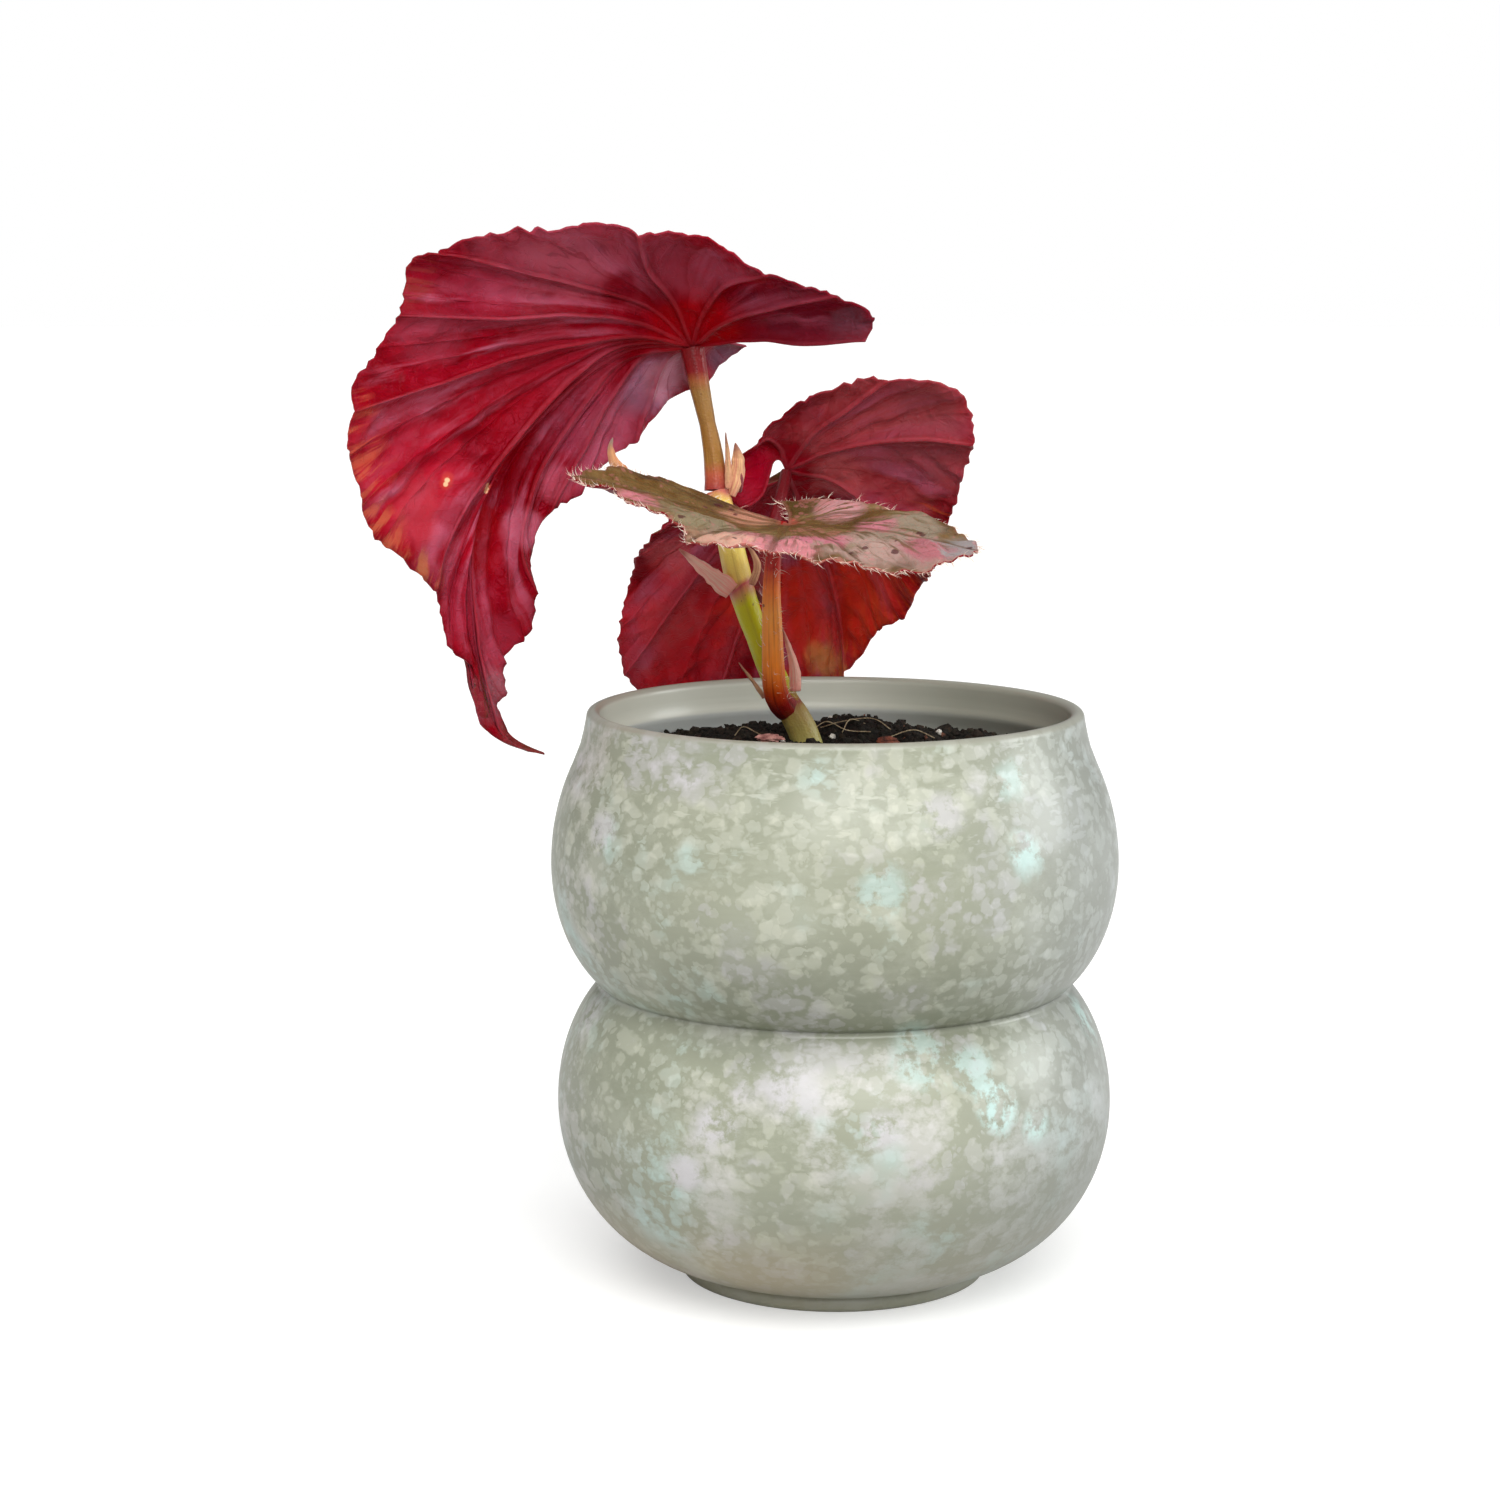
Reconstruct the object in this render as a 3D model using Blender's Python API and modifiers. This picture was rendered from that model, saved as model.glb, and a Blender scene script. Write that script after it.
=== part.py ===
"""Potted begonia: a glazed double-bulb pot, its soil, a zigzag cane and three leaves.

Run with: blender --background --python part.py
Metres, +Z up. The origin is on the pot's axis, on the flat face of its foot.
Sizes and places below are in millimetres, and MM turns them into metres.
"""

import math

import bmesh
import bpy
from mathutils import Vector, noise

MM = 0.001
GAP = 0.3  # between pieces that touch in the real plant

# The pot, turned about the Z axis
FOOT_RADIUS = 29.6
FOOT_HEIGHT = 2.9
LIP_HEIGHT = 108.1  # centre of the rounded lip
LIP_RADIUS = 45.8
LIP_ROUND = 1.3
LOWER_BULB_HEIGHT = 34.0  # height of each bulb's widest ring
UPPER_BULB_HEIGHT = 80.0
WAIST_HEIGHT = 57.0
FLOOR_HEIGHT = 7.0
POT_STEPS = 48

# The soil, mounded up round the cane
SOIL_TOP = 102.2  # on the pot's axis
SOIL_EDGE_DROP = 3.4  # lower than that at the wall
SOIL_LUMP = 1.3  # height of the lumps
SOIL_BROAD_LUMPS = 0.14  # how close together the broad and the fine lumps are
SOIL_FINE_LUMPS = 0.3
SOIL_WALL_TOP = 98.0
SOIL_RIM_RADIUS = 44.8
SOIL_SIDE_GAP = 0.4
SOIL_STEPS = 36
HEAP_RINGS = (10.0, 20.0, 29.0, 37.5)
HOLE_PLAY = 0.05  # round the cane, over and above the gap

# Leaves
BLADE_THICKNESS = 0.9
BLADE_ROWS = 9  # from the petiole out to the margin
VEIN_SPLIT = 2  # columns from one vein to the next

# The cane's centre line and its radius at each point; nodes 1, 2 and 3 are a little swollen
CANE = [
    ((0, -1, 74), 2.2),
    ((-3.4, -0.6, 92), 2.4),
    ((-6.4, 0, 103), 2.4),
    ((-9.9, 0.5, 110.9), 2.6),
    ((-14, 2.6, 121), 2.3),
    ((-17.5, 4, 130.4), 2.7),
    ((-20, 6, 141), 2.3),
    ((-21.4, 8, 148.9), 2.4),
]

# Petioles: centre line, then radius, from the cane up to the blade
TOP_PETIOLE = [
    ((-21.8, 8.4, 150.2), 2.0),
    ((-23.2, 9.4, 159), 1.7),
    ((-25.2, 10.8, 169), 1.5),
    ((-27.1, 12.1, 177.4), 1.6),
]
BACK_PETIOLE = [
    ((-14.3, 8.2, 131.2), 1.9),
    ((-12.6, 14, 138.5), 1.6),
    ((-10.4, 20, 147), 1.4),
    ((-8.9, 24.4, 153.5), 1.4),
]
FRONT_PETIOLE = [
    ((-9.6, -4.8, 109.3), 2.1),
    ((-11.3, -6, 121), 1.9),
    ((-12, -7.8, 133), 1.9),
    ((-11.2, -9.6, 141), 1.8),
    ((-9.2, -11.2, 145.6), 1.7),
]

# A leaf is a fan about the point where the petiole joins the blade. In order round the fan,
# a list is a main vein, out to the margin, and a single point is a place on the margin
# between two main veins. The fan is open between its first vein and its last, at the sinus.
TOP_ATTACHMENT = (-27, 12, 177)
TOP_FAN = [
    [(-14, 8, 178), (-4, 4, 178), (6, 0, 179)],  # lower edge of the right lobe
    (7, -2, 182),
    [(-21, 5, 183), (-13, -1, 188), (-1, -5, 189)],
    (-15, -7, 193),
    (-25, -8, 197),
    [(-31, 4, 185), (-35, -4, 192), (-36, -10, 200)],  # top of the hood
    (-54, -12, 198),
    [(-39, 4, 185), (-55, -6, 189), (-73, -15, 196)],
    (-80, -16, 187),
    (-85, -18, 174),
    [(-41, 7, 179), (-56, 0, 174), (-72, -9, 168), (-89, -19, 162)],
    (-87, -18, 151),
    [(-42, 9, 177), (-54, 4, 169), (-65, -3, 156), (-83, -15, 140)],
    (-75, -11, 132),
    [(-44, 11, 176), (-54, 7, 166.5), (-62, 3, 153), (-68, -2, 138), (-70.5, -6, 124),
     (-69.5, -8, 114)],
    [(-44, 12, 175), (-51, 9, 165), (-59, 6, 152), (-64, 2, 139), (-66, -2, 125),
     (-64.5, -4, 111), (-61, -2, 103), (-56, 2, 100)],  # midrib, out to the drip tip
    (-59, 2, 121),
    (-59, 7, 134),
    [(-39, 14, 174), (-45, 14, 163), (-50, 13, 155), (-54, 12, 146)],
    (-44, 18, 154),
    [(-34, 17, 173), (-36, 21, 166), (-37, 23, 158)],
    (-30, 24, 169),
    (-24, 27, 170),
    (-19, 30, 174),
    [(-23, 21, 178), (-16, 32, 179)],  # far side of the sinus
]

BACK_ATTACHMENT = (-9, 24, 153)
BACK_FAN = [
    [(-11.5, 21, 152.5), (-16, 20, 146)],  # near side of the sinus
    (-19, 17, 150),
    (-17, 15, 158),
    (-13, 15, 162),
    (-5, 12, 168),
    [(-4, 18, 160), (5, 13, 166), (12, 10, 172)],
    (24, 12, 169),
    [(1, 20, 157), (15, 17, 159), (27, 16, 160)],
    (25, 22, 148),
    [(1, 27, 150), (11, 29, 143), (22, 29, 139)],
    (19, 38, 127),
    (14, 45, 121),
    [(-5, 35, 143), (1, 48, 127), (4, 57, 108)],
    (-3, 62, 102),
    (-12, 66, 95),
    [(-11, 36, 142), (-17, 51, 122), (-23, 62, 102), (-27, 67, 87)],  # midrib
    (-34, 61, 101),
    [(-16, 32, 145), (-27, 44, 130), (-41, 56, 107)],
    (-42, 45, 123),
    (-39, 37, 134),
    [(-16.5, 27.5, 148.5), (-25, 29.5, 144.5), (-34, 30, 142)],
    [(-14, 24.5, 151), (-20, 25, 148.5), (-26, 25.5, 147)],  # far side of the sinus
]

FRONT_ATTACHMENT = (-9, -11, 145)
FRONT_FAN = [
    [(-14, -9, 146), (-17, -7, 147), (-20, -4, 148)],  # back edge of the left lobe
    (-34, -3, 154),
    (-46, -11, 156),
    [(-17, -12, 145), (-27, -13, 148), (-38, -13, 151), (-48, -16, 155)],
    (-43, -24, 152),
    [(-16, -17, 144), (-24, -24, 146), (-33, -33, 148)],
    (-27, -38, 144),
    (-19, -41, 144),
    [(-10, -21, 144), (-10, -31, 143), (-11, -43, 143)],
    (-3, -46, 142),
    (6, -46, 140),
    (16, -41, 139),
    [(-3, -15, 145), (6, -22, 145), (15, -29, 144), (24, -34, 142)],  # midrib
    (17, -20, 145),
    [(-5, -9, 146), (2, -10, 147), (11, -11, 147)],
    (3, -3, 149),
    (-5, 2, 149),
    [(-9, -7, 146.5), (-10, -4, 148.5), (-11.5, -3, 149.5)],  # curled edge of the right lobe
]

# Stipules, the papery scales at the cane's nodes:
# centre line, the way the hollow side faces, half width, how deep it is cupped
STIPULES = {
    "stipule_1_left": ([(-13.3, -1.6, 109.6), (-14.6, -2.2, 112.6), (-16.3, -2.6, 116)],
                       (1, 0, 0.4), 0.9, 0.5),
    "stipule_1_right": ([(-5.2, -1.4, 112.2), (-4.6, -2.2, 116), (-6.2, -2.6, 123)],
                        (-0.8, 0.5, 0.2), 1.7, 0.6),
    "stipule_2_left": ([(-21.4, 2.8, 130.6), (-24.4, 2.4, 133.6), (-29.3, 2, 138.6)],
                       (0.7, 0.2, 0.7), 1.9, 0.5),
    "stipule_2_right": ([(-14.6, 1.0, 131.4), (-14.2, 1.2, 136), (-15.4, 1.4, 141)],
                        (-0.6, 0.8, 0), 1.2, 0.5),
    "stipule_3_narrow": ([(-18.6, 4.9, 150.2), (-18.7, 5.2, 155), (-20, 5.8, 161)],
                         (0, 1, 0), 0.8, 0.4),
    "stipule_3_broad": ([(-17.4, 8.6, 148.6), (-15.2, 8.4, 153), (-17.6, 8, 159.4)],
                        (-1, 0, 0.1), 2.6, 0.5),
}
STIPULE_THICKNESS = 0.5
STIPULE_ROWS = 6
STIPULE_TIP = 0.12  # width left at the tip, as a share of the full width
STIPULE_FOOT = 0.22  # how far along its widening a stipule starts
STIPULE_SECTION = ((-1, 0), (-0.45, 1), (0.45, 1), (1, 0), (0.45, -1), (-0.45, -1))

BUD_BASE = (-18.0, 8.2, 149.6)
BUD_TIP = (-18.3, 8, 156)
BUD_RADIUS = 0.9
BUD_TAPER = 0.35  # how much narrower its tip is

# Loose bits lying on the soil: place, size across, deep and high, and what they are made of
CRUMBS = {
    "dry_leaf_scrap": ((-12.4, -5.2), (5.6, 3.0, 1.5), "dry_scrap"),
    "perlite_grain": ((-19.0, -4.5), (2.6, 2.4, 2.0), "perlite"),
    "bark_bit": ((9.8, -2.0), (4.4, 3.2, 1.8), "bark"),
}
CRUMB_LIFT = 0.62  # middle of a crumb above the soil, as a share of its height
CRUMB_BULGE = 0.35  # how uneven a crumb is

# sRGB colour, roughness
FINISHES = {
    "glaze": ((172, 175, 154), 0.22),
    "soil": ((30, 24, 18), 0.95),
    "cane_skin": ((160, 162, 70), 0.4),
    "leaf_red": ((132, 38, 46), 0.35),
    "leaf_pink": ((158, 128, 112), 0.5),
    "papery_pink": ((196, 140, 124), 0.6),
    "bud_red": ((122, 30, 40), 0.5),
    "dry_scrap": ((176, 120, 112), 0.8),
    "perlite": ((214, 210, 200), 0.8),
    "bark": ((104, 52, 34), 0.85),
}


def clear_scene():
    for item in list(bpy.data.objects):
        bpy.data.objects.remove(item, do_unlink=True)


def new_collection(name):
    collection = bpy.data.collections.new(name)
    bpy.context.scene.collection.children.link(collection)
    return collection


def linear(channel):
    share = channel / 255
    return share / 12.92 if share <= 0.04045 else ((share + 0.055) / 1.055) ** 2.4


def finish(name):
    """The material of this name, made on first use."""
    if name in bpy.data.materials:
        return bpy.data.materials[name]
    colour, roughness = FINISHES[name]
    material = bpy.data.materials.new(name)
    material.use_nodes = True
    shader = material.node_tree.nodes["Principled BSDF"]
    shader.inputs["Base Color"].default_value = (*[linear(c) for c in colour], 1)
    shader.inputs["Roughness"].default_value = roughness
    shader.inputs["Metallic"].default_value = 0
    return material


def add_object(name, data, collection, material=None):
    item = bpy.data.objects.new(name, data)
    collection.objects.link(item)
    if material:
        data.materials.append(finish(material))
    return item


def hide_cutter(item):
    item.hide_render = True
    item.display_type = "WIRE"
    return item


def smooth_point(points, where):
    """Point on the smooth curve through the points; where runs from 0 to len(points) - 1."""
    last = len(points) - 1
    start = min(int(where), last - 1)
    part = where - start
    one, two = points[start], points[start + 1]
    before = points[start - 1] if start > 0 else 2 * one - two
    after = points[start + 2] if start + 2 <= last else 2 * two - one
    return 0.5 * (
        2 * one
        + (two - before) * part
        + (2 * before - 5 * one + 4 * two - after) * part**2
        + (3 * one - before - 3 * two + after) * part**3
    )


def evenly_spaced(points, steps):
    """steps + 1 points, evenly spaced along the smooth curve through the points."""
    points = [Vector(p) for p in points]
    fine = 12 * (len(points) - 1)
    trail = [smooth_point(points, i * (len(points) - 1) / fine) for i in range(fine + 1)]
    lengths = [0.0]
    for a, b in zip(trail, trail[1:]):
        lengths.append(lengths[-1] + (b - a).length)
    spaced = []
    at = 0
    for step in range(steps + 1):
        wanted = lengths[-1] * step / steps
        while at < fine - 1 and lengths[at + 1] < wanted:
            at += 1
        share = (wanted - lengths[at]) / max(lengths[at + 1] - lengths[at], 1e-9)
        spaced.append(trail[at].lerp(trail[at + 1], share))
    return spaced


def arc(centre, across, up, start, end, steps):
    """Points on an ellipse about centre (r, z), from start to end degrees."""
    turns = [math.radians(start + (end - start) * i / steps) for i in range(steps + 1)]
    return [(centre[0] + across * math.cos(t), centre[1] + up * math.sin(t)) for t in turns]


def inner_wall():
    """The pot's inside, from the middle of the floor up to just under the lip."""
    return [
        (0, FLOOR_HEIGHT),
        (13, FLOOR_HEIGHT),
        *arc((24, LOWER_BULB_HEIGHT), 24.6, LOWER_BULB_HEIGHT - FLOOR_HEIGHT, -90, 0, 5),
        *arc((34.1, LOWER_BULB_HEIGHT), 14.5, 25.5, 22, 62, 2),
        (40.2, WAIST_HEIGHT),
        *arc((34, UPPER_BULB_HEIGHT), 15.5, 25.5, -62, 0, 3),
        *arc((9.5, UPPER_BULB_HEIGHT), 40, 40, 8, 25.2, 2),
        (44.8, 99.8),
        (44.0, 102.2),
        (43.9, 103.1),  # the small ridge where the wall starts to flare
        (44.3, 104.2),
    ]


def outer_wall():
    """The pot's outside, from just under the lip down to the middle of the foot."""
    lower_drop = LOWER_BULB_HEIGHT - 2.5
    return [
        (47.6, 105.4),
        (48.3, 102.6),
        *arc((9.5, UPPER_BULB_HEIGHT), 44.5, 44.5, 25.3, 0, 4),
        *arc((34, UPPER_BULB_HEIGHT), 20, 27.2, -12, -57.7, 4),
        *arc((34.1, LOWER_BULB_HEIGHT), 19, 27.5, 56.8, 0, 4),
        *arc((24, LOWER_BULB_HEIGHT), 29.1, lower_drop, -13, -76, 6),
        (FOOT_RADIUS - 0.7, FOOT_HEIGHT),  # groove above the foot
        (FOOT_RADIUS, FOOT_HEIGHT - 0.8),
        (FOOT_RADIUS - 0.1, 0.7),
        (FOOT_RADIUS - 0.8, 0),
        (0, 0),
    ]


def turned(name, outline, steps, collection, material):
    """A solid turned about the Z axis from an outline of (r, z) points."""
    mesh = bpy.data.meshes.new(name)
    points = [(r * MM, 0, z * MM) for r, z in outline]
    mesh.from_pydata(points, [(i, i + 1) for i in range(len(points) - 1)], [])
    item = add_object(name, mesh, collection, material)
    screw = item.modifiers.new("turn", "SCREW")
    screw.axis = "Z"
    screw.angle = math.tau
    screw.steps = steps
    screw.render_steps = steps
    screw.use_merge_vertices = True
    screw.merge_threshold = 0.00001
    screw.use_smooth_shade = True
    return item


def as_mesh(item, collection):
    """Replaces a curve or a modified object by a plain mesh of the same name."""
    graph = bpy.context.evaluated_depsgraph_get()
    mesh = bpy.data.meshes.new_from_object(item.evaluated_get(graph))
    name = item.name
    place = item.matrix_world.copy()
    bpy.data.objects.remove(item, do_unlink=True)
    shape = bmesh.new()
    shape.from_mesh(mesh)
    bmesh.ops.remove_doubles(shape, verts=shape.verts, dist=0.000001)
    bmesh.ops.recalc_face_normals(shape, faces=shape.faces)
    shape.to_mesh(mesh)
    shape.free()
    mesh.name = name
    solid = bpy.data.objects.new(name, mesh)
    solid.matrix_world = place
    collection.objects.link(solid)
    return solid


def tube(name, route, steps, sides, collection, material=None, extra=0.0):
    """A round stem along a route of (point, radius) pairs; extra widens it all along."""
    centre = evenly_spaced([point for point, radius in route], steps)
    radii = evenly_spaced([(radius, 0, 0) for point, radius in route], steps)
    curve = bpy.data.curves.new(name, "CURVE")
    curve.dimensions = "3D"
    curve.bevel_depth = MM
    curve.bevel_resolution = (sides - 4) // 2
    curve.use_fill_caps = True
    spline = curve.splines.new("POLY")
    spline.points.add(steps)
    for point, place, radius in zip(spline.points, centre, radii):
        point.co = (*(place * MM), 1)
        point.radius = radius.x + extra
    return as_mesh(add_object(name, curve, collection, material), collection)


def fan_ribs(attachment, fan):
    """Evenly spaced points from the attachment to the margin, one row of them for each entry."""
    attachment = Vector(attachment)
    mains = [i for i, entry in enumerate(fan) if isinstance(entry, list)]
    ribs = {i: evenly_spaced([attachment, *fan[i]], BLADE_ROWS) for i in mains}
    for left, right in zip(mains, mains[1:]):
        for i in range(left + 1, right):
            share = (i - left) / (right - left)
            between = [a.lerp(b, share) for a, b in zip(ribs[left], ribs[right])]
            drift = Vector(fan[i]) - between[-1]
            ribs[i] = [p + drift * (row / BLADE_ROWS) ** 2 for row, p in enumerate(between)]
    return [ribs[i] for i in range(len(fan))]


def blade_surface(name, attachment, fan):
    """An open, single-sided leaf blade lofted across its fan of veins."""
    ribs = fan_ribs(attachment, fan)
    columns = (len(ribs) - 1) * VEIN_SPLIT
    shape = bmesh.new()
    middle = shape.verts.new(Vector(attachment) * MM)
    lines = []
    for column in range(columns + 1):
        line = []
        for row in range(1, BLADE_ROWS + 1):
            place = smooth_point([rib[row] for rib in ribs], column / VEIN_SPLIT)
            line.append(shape.verts.new(place * MM))
        lines.append(line)
    for left, right in zip(lines, lines[1:]):
        shape.faces.new((middle, left[0], right[0]))
        for row in range(BLADE_ROWS - 1):
            shape.faces.new((left[row], left[row + 1], right[row + 1], right[row]))
    mesh = bpy.data.meshes.new(name)
    shape.to_mesh(mesh)
    shape.free()
    mesh.shade_smooth()
    return mesh


def thicken(item, thickness):
    shell = item.modifiers.new("thickness", "SOLIDIFY")
    shell.thickness = thickness * MM
    shell.offset = 0
    return shell


def leaf(name, attachment, fan, petiole, parts, cutters, material):
    """One leaf: its blade and its petiole, which grew as one piece."""
    item = add_object(name, blade_surface(name, attachment, fan), parts, material)
    thicken(item, BLADE_THICKNESS)
    stalk = hide_cutter(tube(name + "_petiole", petiole, 10, 10, cutters))
    join = item.modifiers.new("petiole", "BOOLEAN")
    join.operation = "UNION"
    join.object = stalk
    return item


def stipule(name, centre_line, hollow_side, half_width, cup, collection):
    """A papery scale: a cupped, pointed strip lofted along its centre line."""
    line = evenly_spaced(centre_line, STIPULE_ROWS)
    facing = Vector(hollow_side).normalized()
    shape = bmesh.new()
    rings = []
    for row, place in enumerate(line):
        share = row / STIPULE_ROWS
        ahead = (line[min(row + 1, STIPULE_ROWS)] - line[max(row - 1, 0)]).normalized()
        side = ahead.cross(facing).normalized()
        swell = math.sin(math.pi * (STIPULE_FOOT + (1 - STIPULE_FOOT) * share))
        width = half_width * (STIPULE_TIP + (1 - STIPULE_TIP) * swell)
        skin = STIPULE_THICKNESS / 2 * min(1, width / half_width + 0.2)
        ring = []
        for across, lift in STIPULE_SECTION:
            hollow = facing * (width * cup * across**2 + skin * lift)
            ring.append(shape.verts.new((place + side * width * across + hollow) * MM))
        rings.append(ring)
    for low, high in zip(rings, rings[1:]):
        for corner in range(len(low)):
            after = (corner + 1) % len(low)
            shape.faces.new((low[corner], high[corner], high[after], low[after]))
    shape.faces.new(rings[0])
    shape.faces.new(reversed(rings[-1]))
    bmesh.ops.recalc_face_normals(shape, faces=shape.faces)
    mesh = bpy.data.meshes.new(name)
    shape.to_mesh(mesh)
    shape.free()
    mesh.shade_smooth()
    return add_object(name, mesh, collection, "papery_pink")


def soil_height(x, y):
    """Height of the soil's lumpy top at a place in the pot."""
    out = math.hypot(x, y) / LIP_RADIUS
    broad = noise.noise(Vector((x, y, 3)) * SOIL_BROAD_LUMPS)
    fine = noise.noise(Vector((x, y, 8)) * SOIL_FINE_LUMPS)
    return SOIL_TOP - SOIL_EDGE_DROP * out * out + SOIL_LUMP * (broad + 0.5 * fine)


def soil_side(r, z):
    """A point of the pot's inner wall, moved in from it towards the middle of its bulb."""
    middle = LOWER_BULB_HEIGHT if z < WAIST_HEIGHT else UPPER_BULB_HEIGHT
    lean = (middle - z) / (LOWER_BULB_HEIGHT - FLOOR_HEIGHT)
    return r - SOIL_SIDE_GAP, z + GAP * lean


def soil(parts, cutters):
    """The soil fills the pot's inside; its top is heaped and has a hole for the cane."""
    wall = [soil_side(r, z) for r, z in inner_wall()[1:] if z < SOIL_WALL_TOP]
    top = [(r, SOIL_TOP) for r in (0.0, *HEAP_RINGS)]
    rim = (SOIL_RIM_RADIUS, SOIL_WALL_TOP)
    outline = [*top, rim, *reversed(wall), (0, FLOOR_HEIGHT + GAP)]
    turned_soil = turned("potting_soil", outline, SOIL_STEPS, parts, "soil")
    item = as_mesh(turned_soil, parts)
    for vertex in item.data.vertices:
        x, y, z = vertex.co / MM
        if z > SOIL_WALL_TOP + 1:
            vertex.co.z = soil_height(x, y) * MM
    item.data.shade_smooth()
    hole = hide_cutter(tube("cane_hole", CANE[:4], 12, 12, cutters, extra=GAP + HOLE_PLAY))
    hole.location.z = -GAP * MM
    cut = item.modifiers.new("cane_hole", "BOOLEAN")
    cut.operation = "DIFFERENCE"
    cut.object = hole
    return item


def bud(collection):
    """The folded young leaf at the tip of the cane."""
    base, tip = Vector(BUD_BASE), Vector(BUD_TIP)
    shape = bmesh.new()
    bmesh.ops.create_uvsphere(shape, u_segments=10, v_segments=8, radius=1)
    along = (tip - base).normalized()
    turn = Vector((0, 0, 1)).rotation_difference(along).to_matrix()
    for vertex in shape.verts:
        point = Vector(vertex.co)
        taper = 1 - BUD_TAPER * point.z
        point = Vector((point.x * BUD_RADIUS * taper, point.y * BUD_RADIUS * taper,
                        point.z * (tip - base).length / 2))
        vertex.co = ((base + tip) / 2 + turn @ point) * MM
    mesh = bpy.data.meshes.new("terminal_bud")
    shape.to_mesh(mesh)
    shape.free()
    mesh.shade_smooth()
    return add_object("terminal_bud", mesh, collection, "bud_red")


def crumb(name, place, size, collection, material):
    """A loose, uneven bit that lies on the soil."""
    shape = bmesh.new()
    bmesh.ops.create_icosphere(shape, subdivisions=1, radius=0.5)
    ground = max(soil_height(place[0] + size[0] * i / 4, place[1] + size[1] * j / 4)
                 for i in range(-3, 4) for j in range(-3, 4))
    for vertex in shape.verts:
        bulge = 1 + CRUMB_BULGE * noise.noise(vertex.co * 4 + Vector((*place, 0)))
        point = Vector([vertex.co[axis] * size[axis] * bulge for axis in range(3)])
        vertex.co = (Vector((*place, ground + GAP + CRUMB_LIFT * size[2])) + point) * MM
    mesh = bpy.data.meshes.new(name)
    shape.to_mesh(mesh)
    shape.free()
    mesh.shade_smooth()
    return add_object(name, mesh, collection, material)


def pot(collection):
    lip = arc((LIP_RADIUS, LIP_HEIGHT), LIP_ROUND, LIP_ROUND, 180, 0, 4)
    return turned("pot", [*inner_wall(), *lip, *outer_wall()], POT_STEPS, collection, "glaze")


def main():
    clear_scene()
    parts = new_collection("potted_begonia")
    cutters = new_collection("cutters")
    pot(parts)
    soil(parts, cutters)
    tube("cane", CANE, 20, 12, parts, "cane_skin").data.shade_smooth()
    leaf("top_leaf", TOP_ATTACHMENT, TOP_FAN, TOP_PETIOLE, parts, cutters, "leaf_red")
    leaf("back_leaf", BACK_ATTACHMENT, BACK_FAN, BACK_PETIOLE, parts, cutters, "leaf_red")
    leaf("front_leaf", FRONT_ATTACHMENT, FRONT_FAN, FRONT_PETIOLE, parts, cutters, "leaf_pink")
    for name, (centre_line, hollow_side, half_width, cup) in STIPULES.items():
        stipule(name, centre_line, hollow_side, half_width, cup, parts)
    bud(parts)
    for name, (place, size, material) in CRUMBS.items():
        crumb(name, place, size, parts, material)


main()
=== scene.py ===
"""Looks of the potted begonia: glazed double-bulb pot, soil, cane, petioles, leaves and scales.

Sizes and places are in millimetres, and MM turns them into metres. +Z is up, the pot stands on
z = 0 with its axis on the Z axis, and the camera looks along +Y.
"""

import math
from collections import namedtuple

import bmesh
import bpy
import numpy as np
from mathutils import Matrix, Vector, noise


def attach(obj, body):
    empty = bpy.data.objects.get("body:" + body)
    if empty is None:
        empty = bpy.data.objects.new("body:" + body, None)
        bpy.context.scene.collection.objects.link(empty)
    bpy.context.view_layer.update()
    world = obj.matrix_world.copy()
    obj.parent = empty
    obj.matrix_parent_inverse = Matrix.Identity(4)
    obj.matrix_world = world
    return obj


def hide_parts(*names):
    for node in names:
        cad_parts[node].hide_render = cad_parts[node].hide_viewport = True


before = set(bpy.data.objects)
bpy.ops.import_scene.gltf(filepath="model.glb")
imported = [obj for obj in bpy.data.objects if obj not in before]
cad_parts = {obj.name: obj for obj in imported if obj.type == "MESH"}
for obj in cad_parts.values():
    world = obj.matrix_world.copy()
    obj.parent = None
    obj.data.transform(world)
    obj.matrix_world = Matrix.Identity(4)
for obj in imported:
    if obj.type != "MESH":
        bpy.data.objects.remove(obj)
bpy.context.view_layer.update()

MM = 0.001
BODY = "root"

# Camera
CAMERA_PLACE = (-16.1, -600.0, 193.15)
CAMERA_PITCH = 0.152
CAMERA_LENS = 76.7
CAMERA_SENSOR = 36

# Floor and lights: lamps are (name, place, size, power, colour)
FLOOR_REACH = 9.0  # metres
FLOOR_LIFT = 0.42  # brightens the floor to the eye, and lights nothing
SKY_LIGHT = (0.26, 0.5)  # from the horizon to overhead
SUN_WAY = (-0.12, 0.74, -0.66)
SUN_POWER = 2.75
SUN_SPREAD = 50  # degrees
LAMP_AIM_HEIGHT = 110
LAMP_DIFFUSE = 0.1  # so the lamps give mostly shine
LAMPS = [
    ("window", (1000, 60, 380), 500, 4.0, (0.96, 1, 1)),
    ("overhead", (-420, -160, 780), 500, 1.2, (1, 0.99, 1)),
]

# Pot
FOOT_RADIUS = 29.6
FOOT_HEIGHT = 2.9
LIP_HEIGHT = 108.1
LIP_RADIUS = 45.8
LIP_ROUND = 1.3
LOWER_BULB_HEIGHT = 34.0
UPPER_BULB_HEIGHT = 80.0
WAIST_HEIGHT = 57.0
FLOOR_HEIGHT = 7.0
POT_STEPS = 160

# Soil
SOIL_TOP = 102.2
SOIL_EDGE_DROP = 3.4
SOIL_LUMP = 1.3
SOIL_RADIUS = 44.5
SOIL_FLOOR_GAP = 0.35
SOIL_HEAPS = [((3, 15), 2.9, 110), ((-24, 12), 1.2, 90), ((26, 12), 1.3, 70)]  # place, rise, spread

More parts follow.
